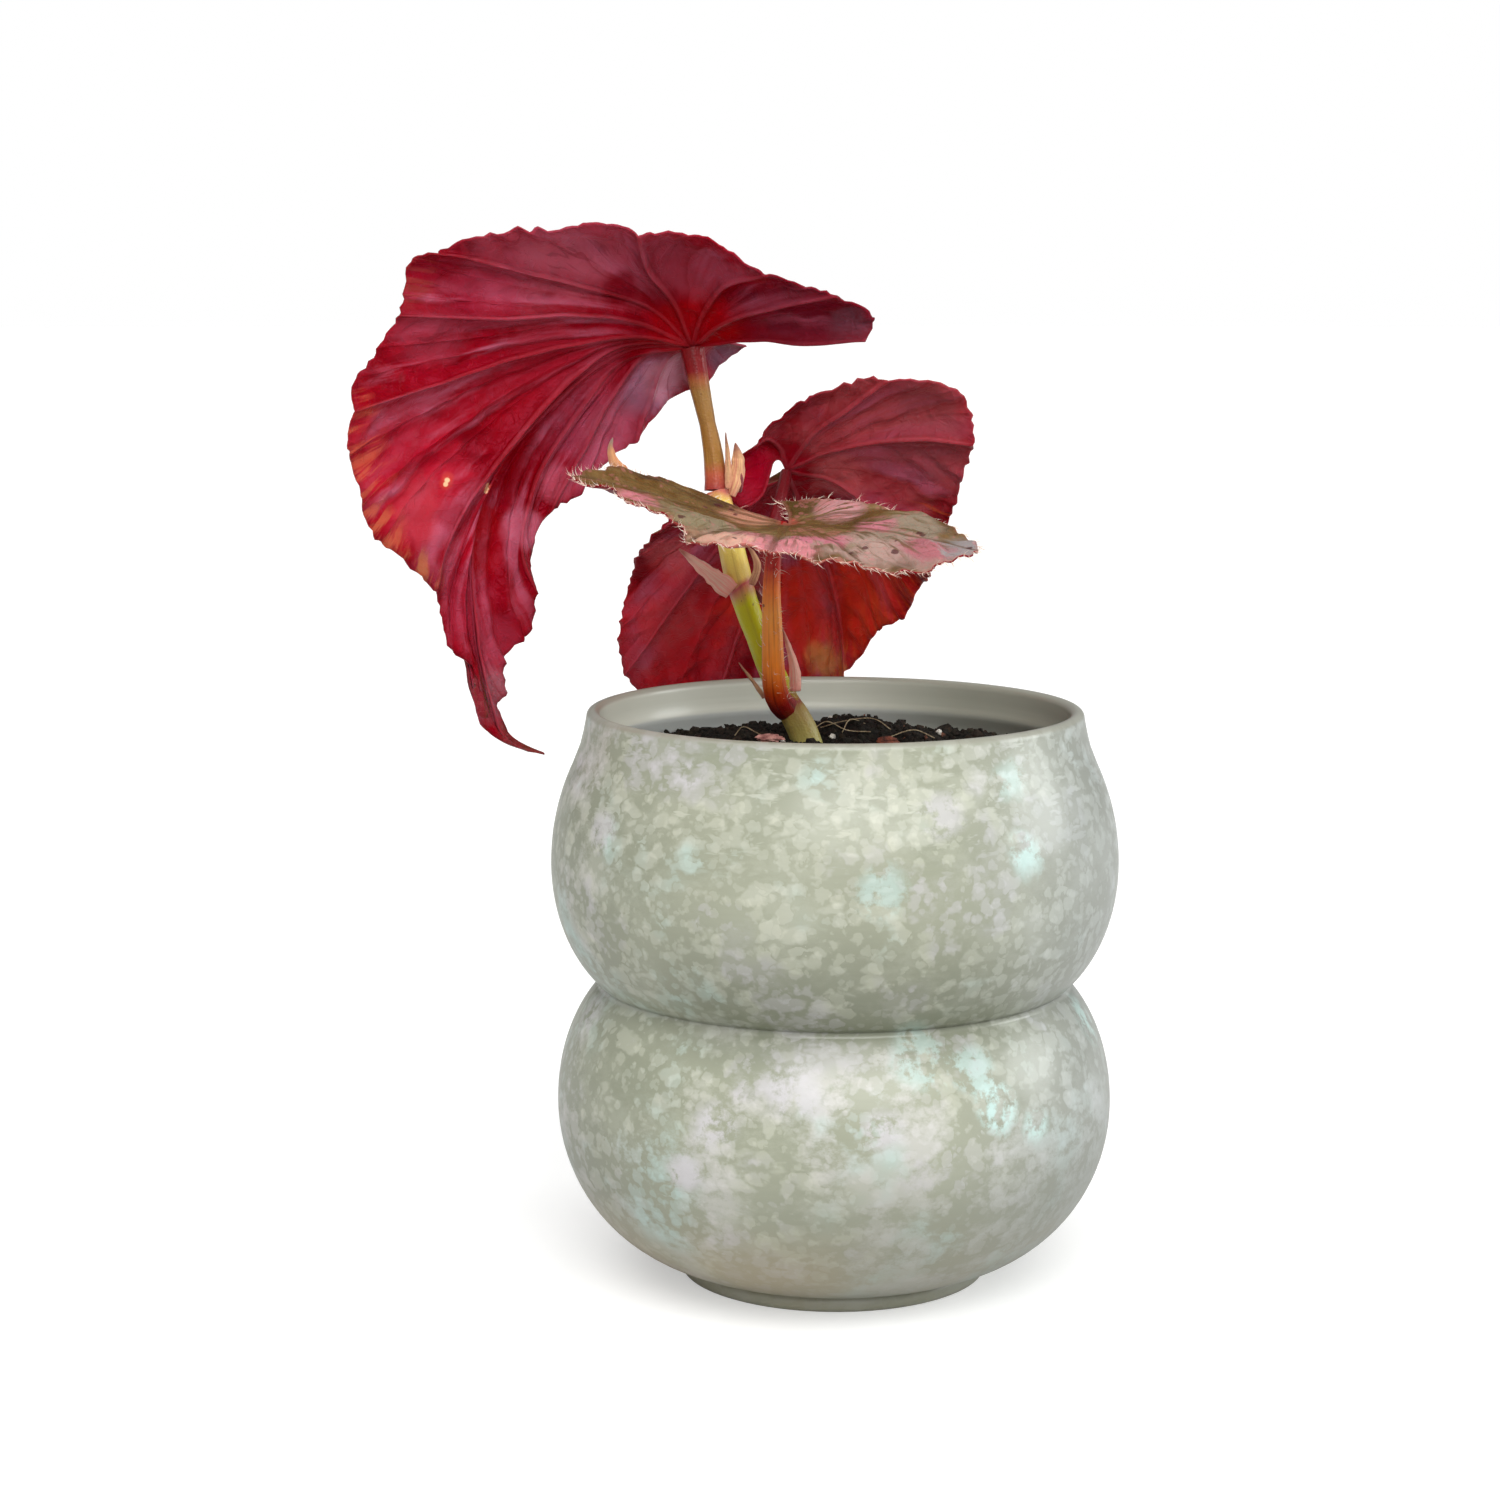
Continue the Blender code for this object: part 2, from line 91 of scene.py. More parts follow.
# Stems: (point, radius) along the centre line
CANE = [
    ((0, -1, 74), 2.2),
    ((-2.6, -0.6, 92), 2.5),
    ((-5.4, 0, 103), 2.6),
    ((-7.4, 0, 107.6), 2.7),
    ((-9.5, 0.5, 110.9), 3.0),
    ((-14, 2.6, 121), 2.2),
    ((-17.7, 4, 131.6), 2.6),
    ((-20, 6, 141), 2.3),
    ((-22.4, 8, 149.6), 2.5),
]
TOP_PETIOLE = [
    ((-22.6, 8.4, 150), 2.2),
    ((-22.7, 8.8, 152.6), 1.8),
    ((-23.4, 9.4, 158.5), 1.75),
    ((-25.4, 10.8, 168), 1.6),
    ((-26.6, 11.6, 174), 1.6),
    ((-27.1, 12, 176.6), 2.3),
]
BACK_PETIOLE = [
    ((-15.6, 6.4, 130), 1.9),
    ((-14.3, 8.2, 131.2), 1.9),
    ((-12.6, 14, 138.5), 1.6),
    ((-10.2, 20, 147), 1.2),
    ((-9, 24, 152.4), 1.1),
]
FRONT_PETIOLE = [
    ((-8.9, 0.4, 109), 2.5),
    ((-10.4, -2.8, 110.9), 2.5),
    ((-11.3, -4.8, 113), 2.25),
    ((-11.7, -6, 116), 2.05),
    ((-12, -7, 124), 1.95),
    ((-12.1, -8.2, 134), 1.95),
    ((-11.3, -9.8, 141.4), 1.8),
    ((-9.3, -11.1, 144.9), 1.2),
]

# Leaves: each is a fan of veins about its petiole. A list is a main vein, out to the margin,
# and a single point is the margin end of a branch vein between two mains. Beside is a strip of
# blade that keeps beside a main vein for a share of its length, as at the tail of the top leaf.
Beside = namedtuple("Beside", "stop end")
TOP_ATTACHMENT = (-27, 12, 177)
TOP_FAN = [
    [(-15, 8, 178), (-5, 4, 177.6), (5.5, 0, 178.6)],
    (7.2, -2, 182.2),
    [(-21, 5, 181.5), (-12, 0, 184.5), (0, -5, 187.4)],
    (-5.5, -6, 189.5),
    [(-25, 6, 183), (-20.5, -1, 188.5), (-13, -7.5, 191.2)],
    (-24, -8.5, 195.6),
    [(-30, 6, 184.5), (-35, -1, 191), (-36.5, -9.5, 198.6)],
    (-44, -11, 198.4),
    (-56, -12.5, 198.2),
    [(-35, 7, 184.5), (-48, 0, 188.5), (-61, -8, 192), (-73, -15, 195.6)],
    (-77.5, -15.5, 193.2),
    (-79.3, -16, 187),
    [(-37, 7, 181.5), (-48, -1, 183), (-62, -9, 182.5), (-80, -16.5, 183.5)],
    (-83, -18, 177.5),
    (-87.5, -19, 172.3),
    [(-39, 7, 179), (-56, -1, 176), (-73, -10, 171), (-88.6, -19, 166.5)],
    (-89.3, -19, 158.5),
    (-86.3, -17.5, 149.5),
    (-83.8, -15.5, 141.8),
    [(-36, 10, 178), (-44, 7.5, 175.5), (-54.5, 3, 166), (-66.5, -3.5, 151.5),
     (-73, -7.5, 140.5), (-75.2, -9.8, 132.5)],
    (-73, -8.5, 126),
    (-71.9, -8, 120.8),
    (-68.8, -7, 118.2),
    Beside(0.87, (-66.6, -6, 113.3)),
    Beside(0.94, (-65, -4.6, 105.4)),
    [(-37, 11, 177), (-44, 9.5, 174), (-51, 7.5, 168.5), (-58, 5, 161.5), (-64, 2.5, 154),
     (-67.5, 0.5, 146), (-68.4, -1.5, 138), (-68, -3, 130), (-66.8, -4.5, 120),
     (-64.8, -5, 111.5), (-63.2, -3.6, 105), (-60.2, -1, 102), (-56, 2, 100.4)],
    Beside(0.95, (-61.6, -2.2, 104.6)),
    Beside(0.9, (-63.4, -3.2, 110.4)),
    Beside(0.87, (-61.7, -2.6, 112.4)),
    (-60.9, -1, 118.6),
    (-57.8, 1.5, 122.4),
    [(-40, 12, 174.5), (-47.5, 10.5, 166), (-55, 8, 155), (-59, 6, 145), (-60, 4.5, 138),
     (-57.6, 4.5, 130.5)],
    (-58.8, 6.5, 135.5),
    (-57.8, 8.5, 141),
    [(-36.5, 13, 175), (-43, 12.5, 166), (-48, 12, 157), (-54.5, 10.5, 146)],
    (-48.7, 13, 149.8),
    (-44.9, 15, 154.3),
    [(-32, 15, 174.5), (-35.5, 18, 166), (-38.6, 18.5, 158.8)],
    (-35.2, 20, 162.7),
    (-32, 22, 165.8),
    [(-29, 17, 175), (-28.5, 21, 171.5), (-28, 24, 169)],
    (-23.9, 27, 170.2),
    (-20.4, 29, 173.9),
    [(-24, 19, 178), (-17.3, 30, 177)],
]
BACK_ATTACHMENT = (-9, 24, 153)
BACK_FAN = [
    [(-9.6, 23, 154.4), (-10.7, 22, 155.2), (-11.9, 21.2, 154.4), (-12.4, 20.8, 152),
     (-13.4, 20.4, 148.6), (-15.5, 20.2, 146.6), (-18.2, 20, 145.8)],
    (-20.2, 19, 149),
    (-19, 17, 155.4),
    [(-10.2, 20.6, 157), (-12.6, 17, 159.2), (-15.4, 15, 158.9)],
    (-13.4, 15, 161),
    (-10.6, 14, 163.7),
    (-5.8, 12.5, 167),
    [(-4, 18, 160), (4, 13.5, 166), (10, 10, 171.2)],
    (17.3, 11, 170.7),
    (22.7, 12, 169.2),
    (26.4, 14, 164.7),
    [(1, 20, 157), (15, 17, 159), (27, 16.5, 159)],
    (25.6, 19.5, 152),
    (24, 24, 146),
    [(1, 27, 150), (11, 29, 143), (22, 29, 139.5)],
    (20, 36, 131),
    (17.3, 40, 125.6),
    (14.5, 44.5, 120.3),
    (10, 47, 118),
    [(-5, 35, 143), (1, 48, 127), (4.2, 56, 109.5)],
    (-3, 62, 102),
    (-12, 66, 95),
    [(-11, 36, 142), (-17, 51, 122), (-23, 62, 102), (-27, 67, 87)],
    (-34, 62.5, 97),
    [(-16, 32, 145), (-27, 44, 130), (-41.8, 58.5, 109)],
    (-42.2, 53, 118.5),
    (-41.3, 48, 126),
    (-38.6, 42, 134.7),
    [(-16.5, 27.5, 148.5), (-25, 30.5, 144.5), (-34, 36, 141.4)],
    (-30, 30, 144.5),
    [(-9.6, 25, 151), (-14, 24.8, 149.4), (-20, 25, 148.2), (-26, 25.5, 147)],
]
FRONT_ATTACHMENT = (-9, -11, 145)
FRONT_FAN = [
    [(-13, -8, 146), (-16.5, -5.5, 147), (-20, -4, 148.6)],
    (-25.4, -3, 150.4),
    (-31, -3, 152.6),
    [(-17, -9, 146.5), (-26, -6, 149.6), (-35.2, -4, 153.6)],
    (-43.3, -9, 155),
    [(-17, -12, 145.5), (-27, -13, 148.3), (-38, -13, 151.5), (-48, -15, 154.9)],
    (-46.8, -18.5, 153.7),
    (-44.2, -21, 152.8),
    [(-16.5, -15, 144.8), (-25, -19, 146.5), (-33, -24, 148.8), (-38, -27.5, 150.1)],
    (-33, -33, 148),
    (-27.4, -37.5, 146.6),
    [(-15, -18.5, 144.3), (-20, -27, 144.8), (-24, -35, 145.2), (-26.8, -42, 144.9)],
    (-21.3, -43, 143.9),
    [(-10.5, -21, 144), (-11.5, -31, 143.6), (-12.5, -44, 143.4)],
    (-9.1, -45, 142.9),
    (-4.8, -46, 142.1),
    [(-5, -19, 144.3), (-1, -29, 142.6), (4, -45.5, 140.4)],
    (9.7, -43.5, 139.9),
    (15.8, -40, 139.5),
    [(-3, -15, 145), (6, -21, 144.6), (15, -28, 143.5), (24.3, -34, 141.9)],
    (21, -23, 143.9),
    (16.5, -14.5, 145.6),
    [(-5, -10, 146), (2, -9, 147), (10, -8.5, 147.5)],
    (3, -4, 149.4),
    (-3.9, -1.5, 149.5),
    [(-9, -7, 146.5), (-10, -4, 148.5), (-11.5, -3, 149)],
]

BLADE_THICKNESS = 0.4
LANE_SPACING = 0.75
TOOTH_SPACING = 2.9
TOOTH_HEIGHT = 0.55
BAY_DEPTH = 1.2
RUFFLE_HEIGHT = 1.0
CROSS_FOLD_SPACING = 6.4
HAIR_LENGTH = 1.8
HAIR_THICKNESS = 0.065
HAIR_SPACING = 0.3
PETIOLE_HAIRS = 120

# Patches of colour: (middle, reach, colour, amount); an amount above 1 gives a crisp edge.
# Blooms are the palest crystals of the glaze; the mint ones on the right of both bulbs are also a
# painted reflection, and the two at the ends of the waist are painted light. Tints lie under a
# blade's painted sheen and overlays over it; both are partly the blades' own colours and partly
# painted light and shade. The glow patches are painted glow of light through a blade and break
# into streaks, as UPPER_FLAMES do. The last overlays of the top leaf are its two holes, painted as
# pale slits with a painted glow round each. UPPER_TINTS and UPPER_FLAMES serve the upper sides of
# all three blades.
MINT, LILAC = (188, 214, 209), (200, 197, 200)
GLAZE_BLOOMS_AND_LIGHT = [
    ((33, -42, 89), 6, MINT, 0.8),
    ((30, -38, 102), 6, MINT, 0.5),
    ((7, -53, 85), 6, MINT, 0.5),
    ((18, -47, 97), 6, LILAC, 0.6),
    ((-43, -31, 91), 5, LILAC, 0.6),
    ((-27, -40, 103), 4, LILAC, 0.7),
    ((15, -46, 53), 8, MINT, 0.6),
    ((24, -43, 50), 6, MINT, 0.6),
    ((28, -43, 43), 6, MINT, 0.9),
    ((36, -39, 39), 5, MINT, 0.8),
    ((7, -52, 41), 6, LILAC, 0.8),
    ((-8, -50, 48), 7, LILAC, 0.7),
    ((-23, -47, 41), 7, LILAC, 0.8),
    ((-28, -45, 31), 5, LILAC, 0.9),
    ((13, -51, 33), 5, LILAC, 0.5),
    ((-43, -12, 51), 8, LILAC, 0.7),
    ((43, -12, 51), 8, MINT, 0.7),
]
TOP_TINTS = [
    ((-48, -9, 195), 24, (168, 66, 84), 0.75),
    ((2, -3, 182), 26, (102, 22, 40), 0.75),
    ((-77, -10, 152), 16, (188, 20, 44), 0.6),
    ((-44, 15, 160), 15, (160, 60, 84), 0.7),
]
TOP_OVERLAY = [
    ((-27, 6, 177), 13, (168, 0, 6), 0.9),
    ((-19, 31, 176), 9, (128, 88, 108), 0.85),
    ((-34, 16.5, 169.5), 9, (160, 104, 128), 0.85),
    ((-31, 19, 172), 7, (204, 136, 154), 0.75),
    ((-44.5, 9.5, 173), 8, (178, 58, 80), 0.6),
    ((-57, -2, 170), 6, (120, 0, 10), 0.6),
    ((-29, 1.5, 192.5), 9, (158, 62, 80), 0.6),
    ((-43, 15.5, 160), 8, (166, 78, 98), 0.6),
    ((-40.4, 3.3, 187.7), 4.5, (126, 0, 18), 0.85),
    ((-51, -3, 193), 11, (184, 88, 106), 0.6),
    ((-63.5, -7, 186.5), 8, (146, 34, 56), 0.6),
    ((-74, -14, 193), 8, (136, 8, 30), 0.75),
    ((-54, 1, 173), 14, (158, 22, 40), 0.7),
    ((-60, 4, 156), 9, (132, 0, 12), 0.7),
    ((-75, -12.5, 180), 8, (162, 60, 80), 0.5),
    ((-77, -9.5, 146.5), 8, (186, 64, 78), 0.5),
    ((-80, -11, 160), 9, (150, 14, 34), 0.6),
    ((-70.8, -6, 146), 5, (146, 22, 40), 0.6),
    ((3, 0.5, 179), 7, (116, 70, 84), 0.6),
    ((-66.5, 2.9, 144.7), 4.5, (150, 0, 6), 0.85),
    ((-66, 1.5, 138), 4.5, (140, 0, 8), 0.85),
    ((-62.4, 1.4, 131.6), 5, (136, 0, 14), 0.7),
    ((-58.5, 6.5, 143), 5, (200, 106, 130), 0.7),
    ((-69, -3.5, 129), 8, (152, 36, 56), 0.6),
    ((-64, -1, 121), 8, (150, 42, 60), 0.6),
    ((-64, -3.5, 112), 7, (146, 82, 92), 0.8),
    ((-61.5, -2, 104.5), 5, (118, 56, 52), 0.85),
    ((-57.5, 0.8, 101), 3.5, (96, 66, 50), 0.9),
    ((-88, -19, 163), 6, (176, 10, 32), 0.6),
    ((-53, 10.5, 151.5), 5, (190, 92, 114), 0.5),
    ((-61, 0, 166), 9, (140, 2, 16), 0.6),
    ((-70.5, -5, 156.5), 3.5, (150, 22, 38), 0.5),
    ((-70, -10.5, 186.5), 6, (140, 22, 44), 0.5),
    ((-72.0, -5.8, 153.4), 1.6, (210, 78, 62), 0.4),
    ((-72.4, -5.8, 152.2), 1.6, (210, 78, 62), 0.4),
    ((-71.9, -5.8, 153.6), 0.7, (236, 196, 152), 2),
    ((-72.2, -5.8, 152.8), 0.75, (236, 196, 152), 2),
    ((-72.5, -5.8, 152.0), 0.65, (236, 196, 152), 2),
    ((-65.3, -1.8, 151.0), 1.5, (206, 74, 62), 0.5),
    ((-65.1, -1.8, 151.6), 0.6, (236, 192, 150), 2),
    ((-65.3, -1.8, 151.0), 0.6, (236, 192, 150), 2),
    ((-65.5, -1.8, 150.4), 0.5, (236, 192, 150), 2),
]
TOP_GLOW = [
    ((-90, -19, 158), 12, (190, 84, 62), 0.75),
    ((-85, -16, 143), 9, (188, 92, 64), 0.8),
    ((-77, -16, 190), 7, (140, 48, 44), 0.7),
    ((-78, -11, 136), 6, (176, 104, 66), 0.7),
]
BACK_TINTS = [
    ((12, 15, 164), 26, (178, 80, 86), 0.7),
    ((-15, 19, 152), 7, (164, 2, 32), 1),
    ((-32, 50, 115), 24, (196, 32, 42), 0.6),
    ((-2, 48, 118), 22, (206, 48, 26), 0.75),
]
BACK_OVERLAY = [
    ((1, 26, 151), 8, (204, 96, 100), 0.7),
    ((-32, 44.5, 135), 7, (204, 94, 100), 0.7),
    ((-32, 52, 120), 8, (192, 74, 80), 0.6),
    ((-24, 48, 118), 24, (190, 34, 40), 0.55),
    ((-9, 52, 121), 16, (214, 50, 34), 0.7),
    ((10, 46, 127), 13, (204, 50, 32), 0.65),
    ((18, 17.5, 162), 13, (146, 66, 70), 0.6),
    ((-0.5, 58.5, 110.5), 5, (204, 132, 78), 0.85),
]
BACK_GLOW = [
    ((14, 42, 122), 20, (190, 60, 28), 0.7),
    ((0, 55, 109), 9, (190, 108, 56), 0.7),
    ((20, 30, 138), 10, (196, 84, 44), 0.7),
]
FRONT_TINTS = [((-8, -44, 143.5), 26, (204, 140, 122), 0.85)]
UPPER_TINTS = [
    ((-26, -27, 148), 10, (138, 126, 100), 0.85),
    ((-14, -38, 143.8), 12, (180, 116, 120), 0.8),
    ((-20.5, -39, 144.6), 7.5, (212, 166, 144), 0.85),
    ((-9, -31, 144.3), 3.5, (122, 108, 84), 0.85),
    ((4, -36, 142), 13, (180, 148, 138), 0.85),
    ((1, -33, 142.8), 3, (140, 122, 98), 0.8),
    ((11, -25, 144.6), 10, (144, 128, 110), 0.85),
    ((14, -36, 141.5), 9, (166, 132, 126), 0.75),
    ((-9, -11, 145), 3, (190, 84, 76), 0.8),
    ((22, -33, 142.5), 7, (146, 136, 136), 0.9),
    ((-71, -6, 112), 11, (128, 22, 36), 1),
    ((-14, 25, 149.5), 6, (112, 12, 26), 1),
    ((-6.5, -6, 147.5), 5, (76, 54, 12), 0.9),
]
UPPER_FLAMES = [
    ((-36, -26, 150), 6, (190, 114, 122), 0.9),
    ((-17, -12, 146.3), 7, (196, 132, 112), 0.7),
    ((-10, -41, 143.4), 8, (204, 126, 132), 0.95),
    ((-3.6, -31, 143.8), 7, (192, 112, 126), 0.95),
    ((6.5, -20.5, 145.2), 5, (188, 112, 124), 0.9),
    ((14.5, -35, 142.5), 6, (166, 96, 104), 0.9),
    ((1, -8.5, 148), 7, (190, 136, 138), 0.95),
]

# Colours along the stems: (share of the length from the foot, colour)
CANE_COLOURS = [
    (0.0, (112, 104, 52)),
    (0.36, (176, 168, 96)),
    (0.45, (150, 124, 62)),
    (0.47, (130, 30, 24)),
    (0.5, (172, 160, 14)),
    (0.54, (204, 200, 6)),
    (0.72, (208, 206, 14)),
    (0.75, (206, 150, 90)),
    (0.77, (196, 88, 88)),
    (0.79, (236, 208, 108)),
    (0.95, (240, 226, 104)),
    (1.0, (190, 100, 84)),
]
TOP_PETIOLE_COLOURS = [
    (0.0, (160, 56, 50)),
    (0.1, (184, 90, 62)),
    (0.2, (164, 116, 52)),
    (0.68, (156, 114, 56)),
    (0.77, (162, 92, 50)),
    (0.84, (136, 14, 20)),
    (1.0, (120, 2, 12)),
]
BACK_PETIOLE_COLOURS = [(0.0, (120, 30, 32)), (0.4, (110, 8, 20)), (1.0, (110, 4, 18))]
FRONT_PETIOLE_COLOURS = [
    (0.0, (110, 10, 16)),
    (0.12, (146, 12, 16)),
    (0.2, (190, 60, 16)),
    (0.32, (240, 136, 40)),
    (0.56, (255, 166, 70)),
    (0.68, (248, 128, 44)),
    (0.78, (196, 30, 12)),
    (1.0, (166, 8, 10)),
]

# Scales at the cane's nodes: centre line, hollow side, half width, cup, and how far the scale
# bellies out (0 for a plain taper)
STIPULES = {
    "stipule_1_left": ([(-13.6, -2, 111.4), (-15.6, -2.6, 114.6), (-18.2, -3, 118.4)],
                       (1, 1, 0.4), 0.75, 0.5, 0.2),
    "stipule_1_right": ([(-7.6, -2.6, 112.8), (-7.8, -3, 117), (-8.8, -3.2, 121),
                         (-10, -3.4, 124.9)], (0.2, 1, 0.1), 1.35, 0.5, 0),
    "stipule_2_left": ([(-19.6, 1.8, 131.2), (-22.6, 1.4, 133.6), (-29.5, 1, 139.4)],
                       (0.15, 1, 0.2), 2.3, 0.3, 0),
    "stipule_2_right": ([(-15.6, 0.8, 132.6), (-14.6, 0.2, 136), (-15.4, -0.2, 138.6),
                         (-16.6, -0.2, 140)], (-0.4, 1, 0), 1.0, 0.5, 0.4),
    "stipule_3_narrow": ([(-20.3, 5.2, 150.4), (-20.3, 5.6, 155), (-20.7, 6, 161)],
                         (0.4, 1, 0), 0.8, 0.4, 0.3),
    "stipule_3_broad": ([(-19.6, 6.8, 149), (-18.5, 7, 152), (-18.2, 7.2, 155.6),
                         (-18.9, 7.4, 159)], (-0.3, 1, 0), 1.5, 0.6, 1),
}
# The two scales that lie in shade get a pinker, paler skin: partly their own colour, partly painted
# light.
ROSY_BRIGHTENED_STIPULES = ("stipule_1_right", "stipule_2_left")
SCALE_HALF_THICKNESS = 0.12
BUD_BASE = (-18.0, 8.2, 149.6)
BUD_TIP = (-18.3, 8, 156)
BUD_RADIUS = 0.95
DRY_TIP = [(-39.4, -5.4, 153.8), (-41.4, -5, 156), (-42.1, -4.6, 158.6), (-41.6, -4.2, 160.6)]

# Pale root fibres on the soil, as points they pass
FIBRE_RADIUS = 0.11
FIBRES = [
    [(-4.6, 1, 104.6), (-1.5, 2, 106.4), (2.4, 3, 104.6), (7, 5, 104)],
    [(-2.5, 8, 104.4), (2, 7, 105.8), (7.5, 9, 106), (11, 8, 104)],
    [(1.5, 3, 104.2), (3, 6, 106.2), (5.8, 10, 105), (6.8, 14, 103.4)],
    [(-19, 3, 103.6), (-17.4, 2, 105.4), (-15, -1, 104.8), (-12.8, -2, 103.8)],
    [(10, 0, 103.6), (15, 2, 104.8), (19, 1, 103.4)],
]


# ---------------------------------------------------------------- small tools


def linear(*srgb):
    """An sRGB colour of 0 to 255 as linear RGBA."""
    shares = [c / 255 for c in srgb]
    return (*[c / 12.92 if c <= 0.04045 else ((c + 0.055) / 1.055) ** 2.4 for c in shares], 1)


def smooth_line(points, where):
    """Places on the smooth curve through the points; where runs from 0 to len(points) - 1."""
    points = np.asarray(points, float)
    last = len(points) - 1
    start = np.minimum(where.astype(int), last - 1)
    part = (where - start).reshape(-1, *[1] * (points.ndim - 1))
    ends = 2 * points[:1] - points[1:2], 2 * points[-1:] - points[-2:-1]
    padded = np.concatenate([ends[0], points, ends[1]])
    before, one, two, after = (padded[start + step] for step in range(4))
    return 0.5 * (
        2 * one
        + (two - before) * part
        + (2 * before - 5 * one + 4 * two - after) * part**2
        + (3 * one - before - 3 * two + after) * part**3
    )


def even_places(points, steps):
    """steps + 1 places, evenly spaced along the smooth curve through the points."""
    trail = smooth_line(points, np.linspace(0, len(points) - 1, 40 * (len(points) - 1) + 1))
    lengths = running_length(trail)
    wanted = lengths[-1] * np.linspace(0, 1, steps + 1)
    return np.stack([np.interp(wanted, lengths, trail[:, axis]) for axis in range(3)], 1)


def running_length(trail, axis=0):
    """Length from the start of a line of places to each of them."""
    steps = np.linalg.norm(np.diff(trail, axis=axis), axis=-1)
    zero = np.zeros_like(np.take(steps, [0], axis=axis))
    return np.concatenate([zero, np.cumsum(steps, axis=axis)], axis=axis)


def ripple(places, scale, seed=0.0):
    """Smooth noise from about -1 to 1 at an array of places; scale is waves per millimetre."""
    flat = np.asarray(places, float).reshape(-1, 3)
    shift = Vector((seed, 0.37 * seed, -0.71 * seed))
    values = [noise.noise(Vector(place) * scale + shift) for place in flat]
    return np.array(values).reshape(np.shape(places)[:-1])


def fade(value, low, high):
    """Smooth step from 0 at low to 1 at high."""
    share = np.clip((value - low) / (high - low), 0, 1)
    return share * share * (3 - 2 * share)


def unit(vectors):
    """The same vectors, each brought to length 1."""
    return vectors / np.maximum(np.linalg.norm(vectors, axis=-1, keepdims=True), 1e-9)


def link_object(name, mesh):
    """An object for a mesh, at the origin."""
    item = bpy.data.objects.new(name, mesh)
    bpy.context.scene.collection.objects.link(item)
    return item


def store(mesh, name, values):
    """Keeps one number for each point of a mesh."""
    layer = mesh.attributes.new(name, "FLOAT", "POINT")
    layer.data.foreach_set("value", np.asarray(values, np.float32).ravel())


def place_piece(item, node):
    """Ties a finished piece to the pot and hides the part of the model it stands for."""
    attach(item, BODY)
    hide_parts(node)


def line_mesh(name, places, **attributes):
    """A chain of edges through the places, with values stored on its points."""
    mesh = bpy.data.meshes.new(name)
    count = len(places)
    mesh.from_pydata((np.asarray(places) * MM).tolist(), [(i, i + 1) for i in range(count - 1)], [])
    for key, values in attributes.items():
        store(mesh, key, values)
    return mesh


# ---------------------------------------------------------------- node trees


class Recipe:
    """Short calls that lay nodes in a tree and join them."""

    def __init__(self, tree):
        self.tree = tree

    def node(self, kind, **settings):
        made = self.tree.nodes.new(kind)
        for key, value in settings.items():
            setattr(made, key, value)
        return made

    def feed(self, socket, value):
        if isinstance(value, bpy.types.NodeSocket):
            self.tree.links.new(value, socket)
        elif value is not None:
            socket.default_value = value

    def put(self, kind, inputs, output=0, **settings):
        """Adds a node, feeds its inputs by name or place, and gives one of its outputs."""
        made = self.node(kind, **settings)
        for key, value in inputs.items():
            self.feed(made.inputs[key], value)
        return made.outputs[output]

    def math(self, operation, a, b=None, c=None):
        return self.put("ShaderNodeMath", {0: a, 1: b, 2: c}, operation=operation)

    def times(self, a, b):
        return self.math("MULTIPLY", a, b)

    def centred(self, value):
        """Noise from -0.5 to 0.5 instead of 0 to 1."""
        return self.math("SUBTRACT", value, 0.5)

    def vector_math(self, operation, a, b=None, scale=None):
        made = self.node("ShaderNodeVectorMath", operation=operation)
        self.feed(made.inputs[0], a)
        self.feed(made.inputs[1], b)
        if scale is not None:
            self.feed(made.inputs["Scale"], scale)
        return made.outputs["Value" if operation in ("LENGTH", "DISTANCE") else 0]

    def step(self, value, low, high, to_low=0.0, to_high=1.0):
        """A smooth step of the value, from to_low at low to to_high at high."""
        inputs = {"Value": value, "From Min": low, "From Max": high, "To Min": to_low,
                  "To Max": to_high}
        return self.put("ShaderNodeMapRange", inputs, interpolation_type="SMOOTHSTEP")

    def mix(self, share, a, b, mode="MIX"):
        made = self.node("ShaderNodeMix", data_type="RGBA", blend_type=mode)
        self.feed(made.inputs[0], share)
        self.feed(made.inputs[6], a)
        self.feed(made.inputs[7], b)
        return made.outputs[2]

    def tinge(self, colour, share, tint, amount=1.0):
        """Mixes an sRGB tint into a colour where share says, by up to the amount."""
        if amount != 1.0:
            share = self.times(share, amount)
        return self.mix(share, colour, linear(*tint))

    def ramp(self, value, *stops):
        """Colours spread over the value; each stop is (place, sRGB colour)."""
        made = self.node("ShaderNodeValToRGB")
        ramp = made.color_ramp
        while len(ramp.elements) < len(stops):
            ramp.elements.new(1)
        for element, (place, colour) in zip(ramp.elements, stops):
            element.position = place
            element.color = linear(*colour)
        self.feed(made.inputs[0], value)
        return made.outputs[0]

    def noise(self, vector, scale, detail=2.0, roughness=0.5):
        inputs = {"Vector": vector, "Scale": scale, "Detail": detail, "Roughness": roughness}
        return self.put("ShaderNodeTexNoise", inputs)

    def cells(self, vector, scale, feature="F1", output="Distance"):
        inputs = {"Vector": vector, "Scale": scale}
        return self.put("ShaderNodeTexVoronoi", inputs, output=output, feature=feature)

    def attribute(self, name):
        return self.put("ShaderNodeAttribute", {}, output="Fac", attribute_name=name)

    def place(self):
        """Object coordinates, in metres."""
        return self.put("ShaderNodeTexCoord", {}, output="Object")

    def stretched(self, vector, x, y, z):
        return self.put("ShaderNodeMapping", {"Vector": vector, "Scale": (x, y, z)})

    def bump(self, height, distance, strength, normal=None):
        inputs = {"Height": height, "Distance": distance, "Strength": strength, "Normal": normal}
        return self.put("ShaderNodeBump", inputs)

    def group(self, tree, inputs):
        """Places a shader node group and gives its first output."""
        return self.put("ShaderNodeGroup", inputs, node_tree=tree)


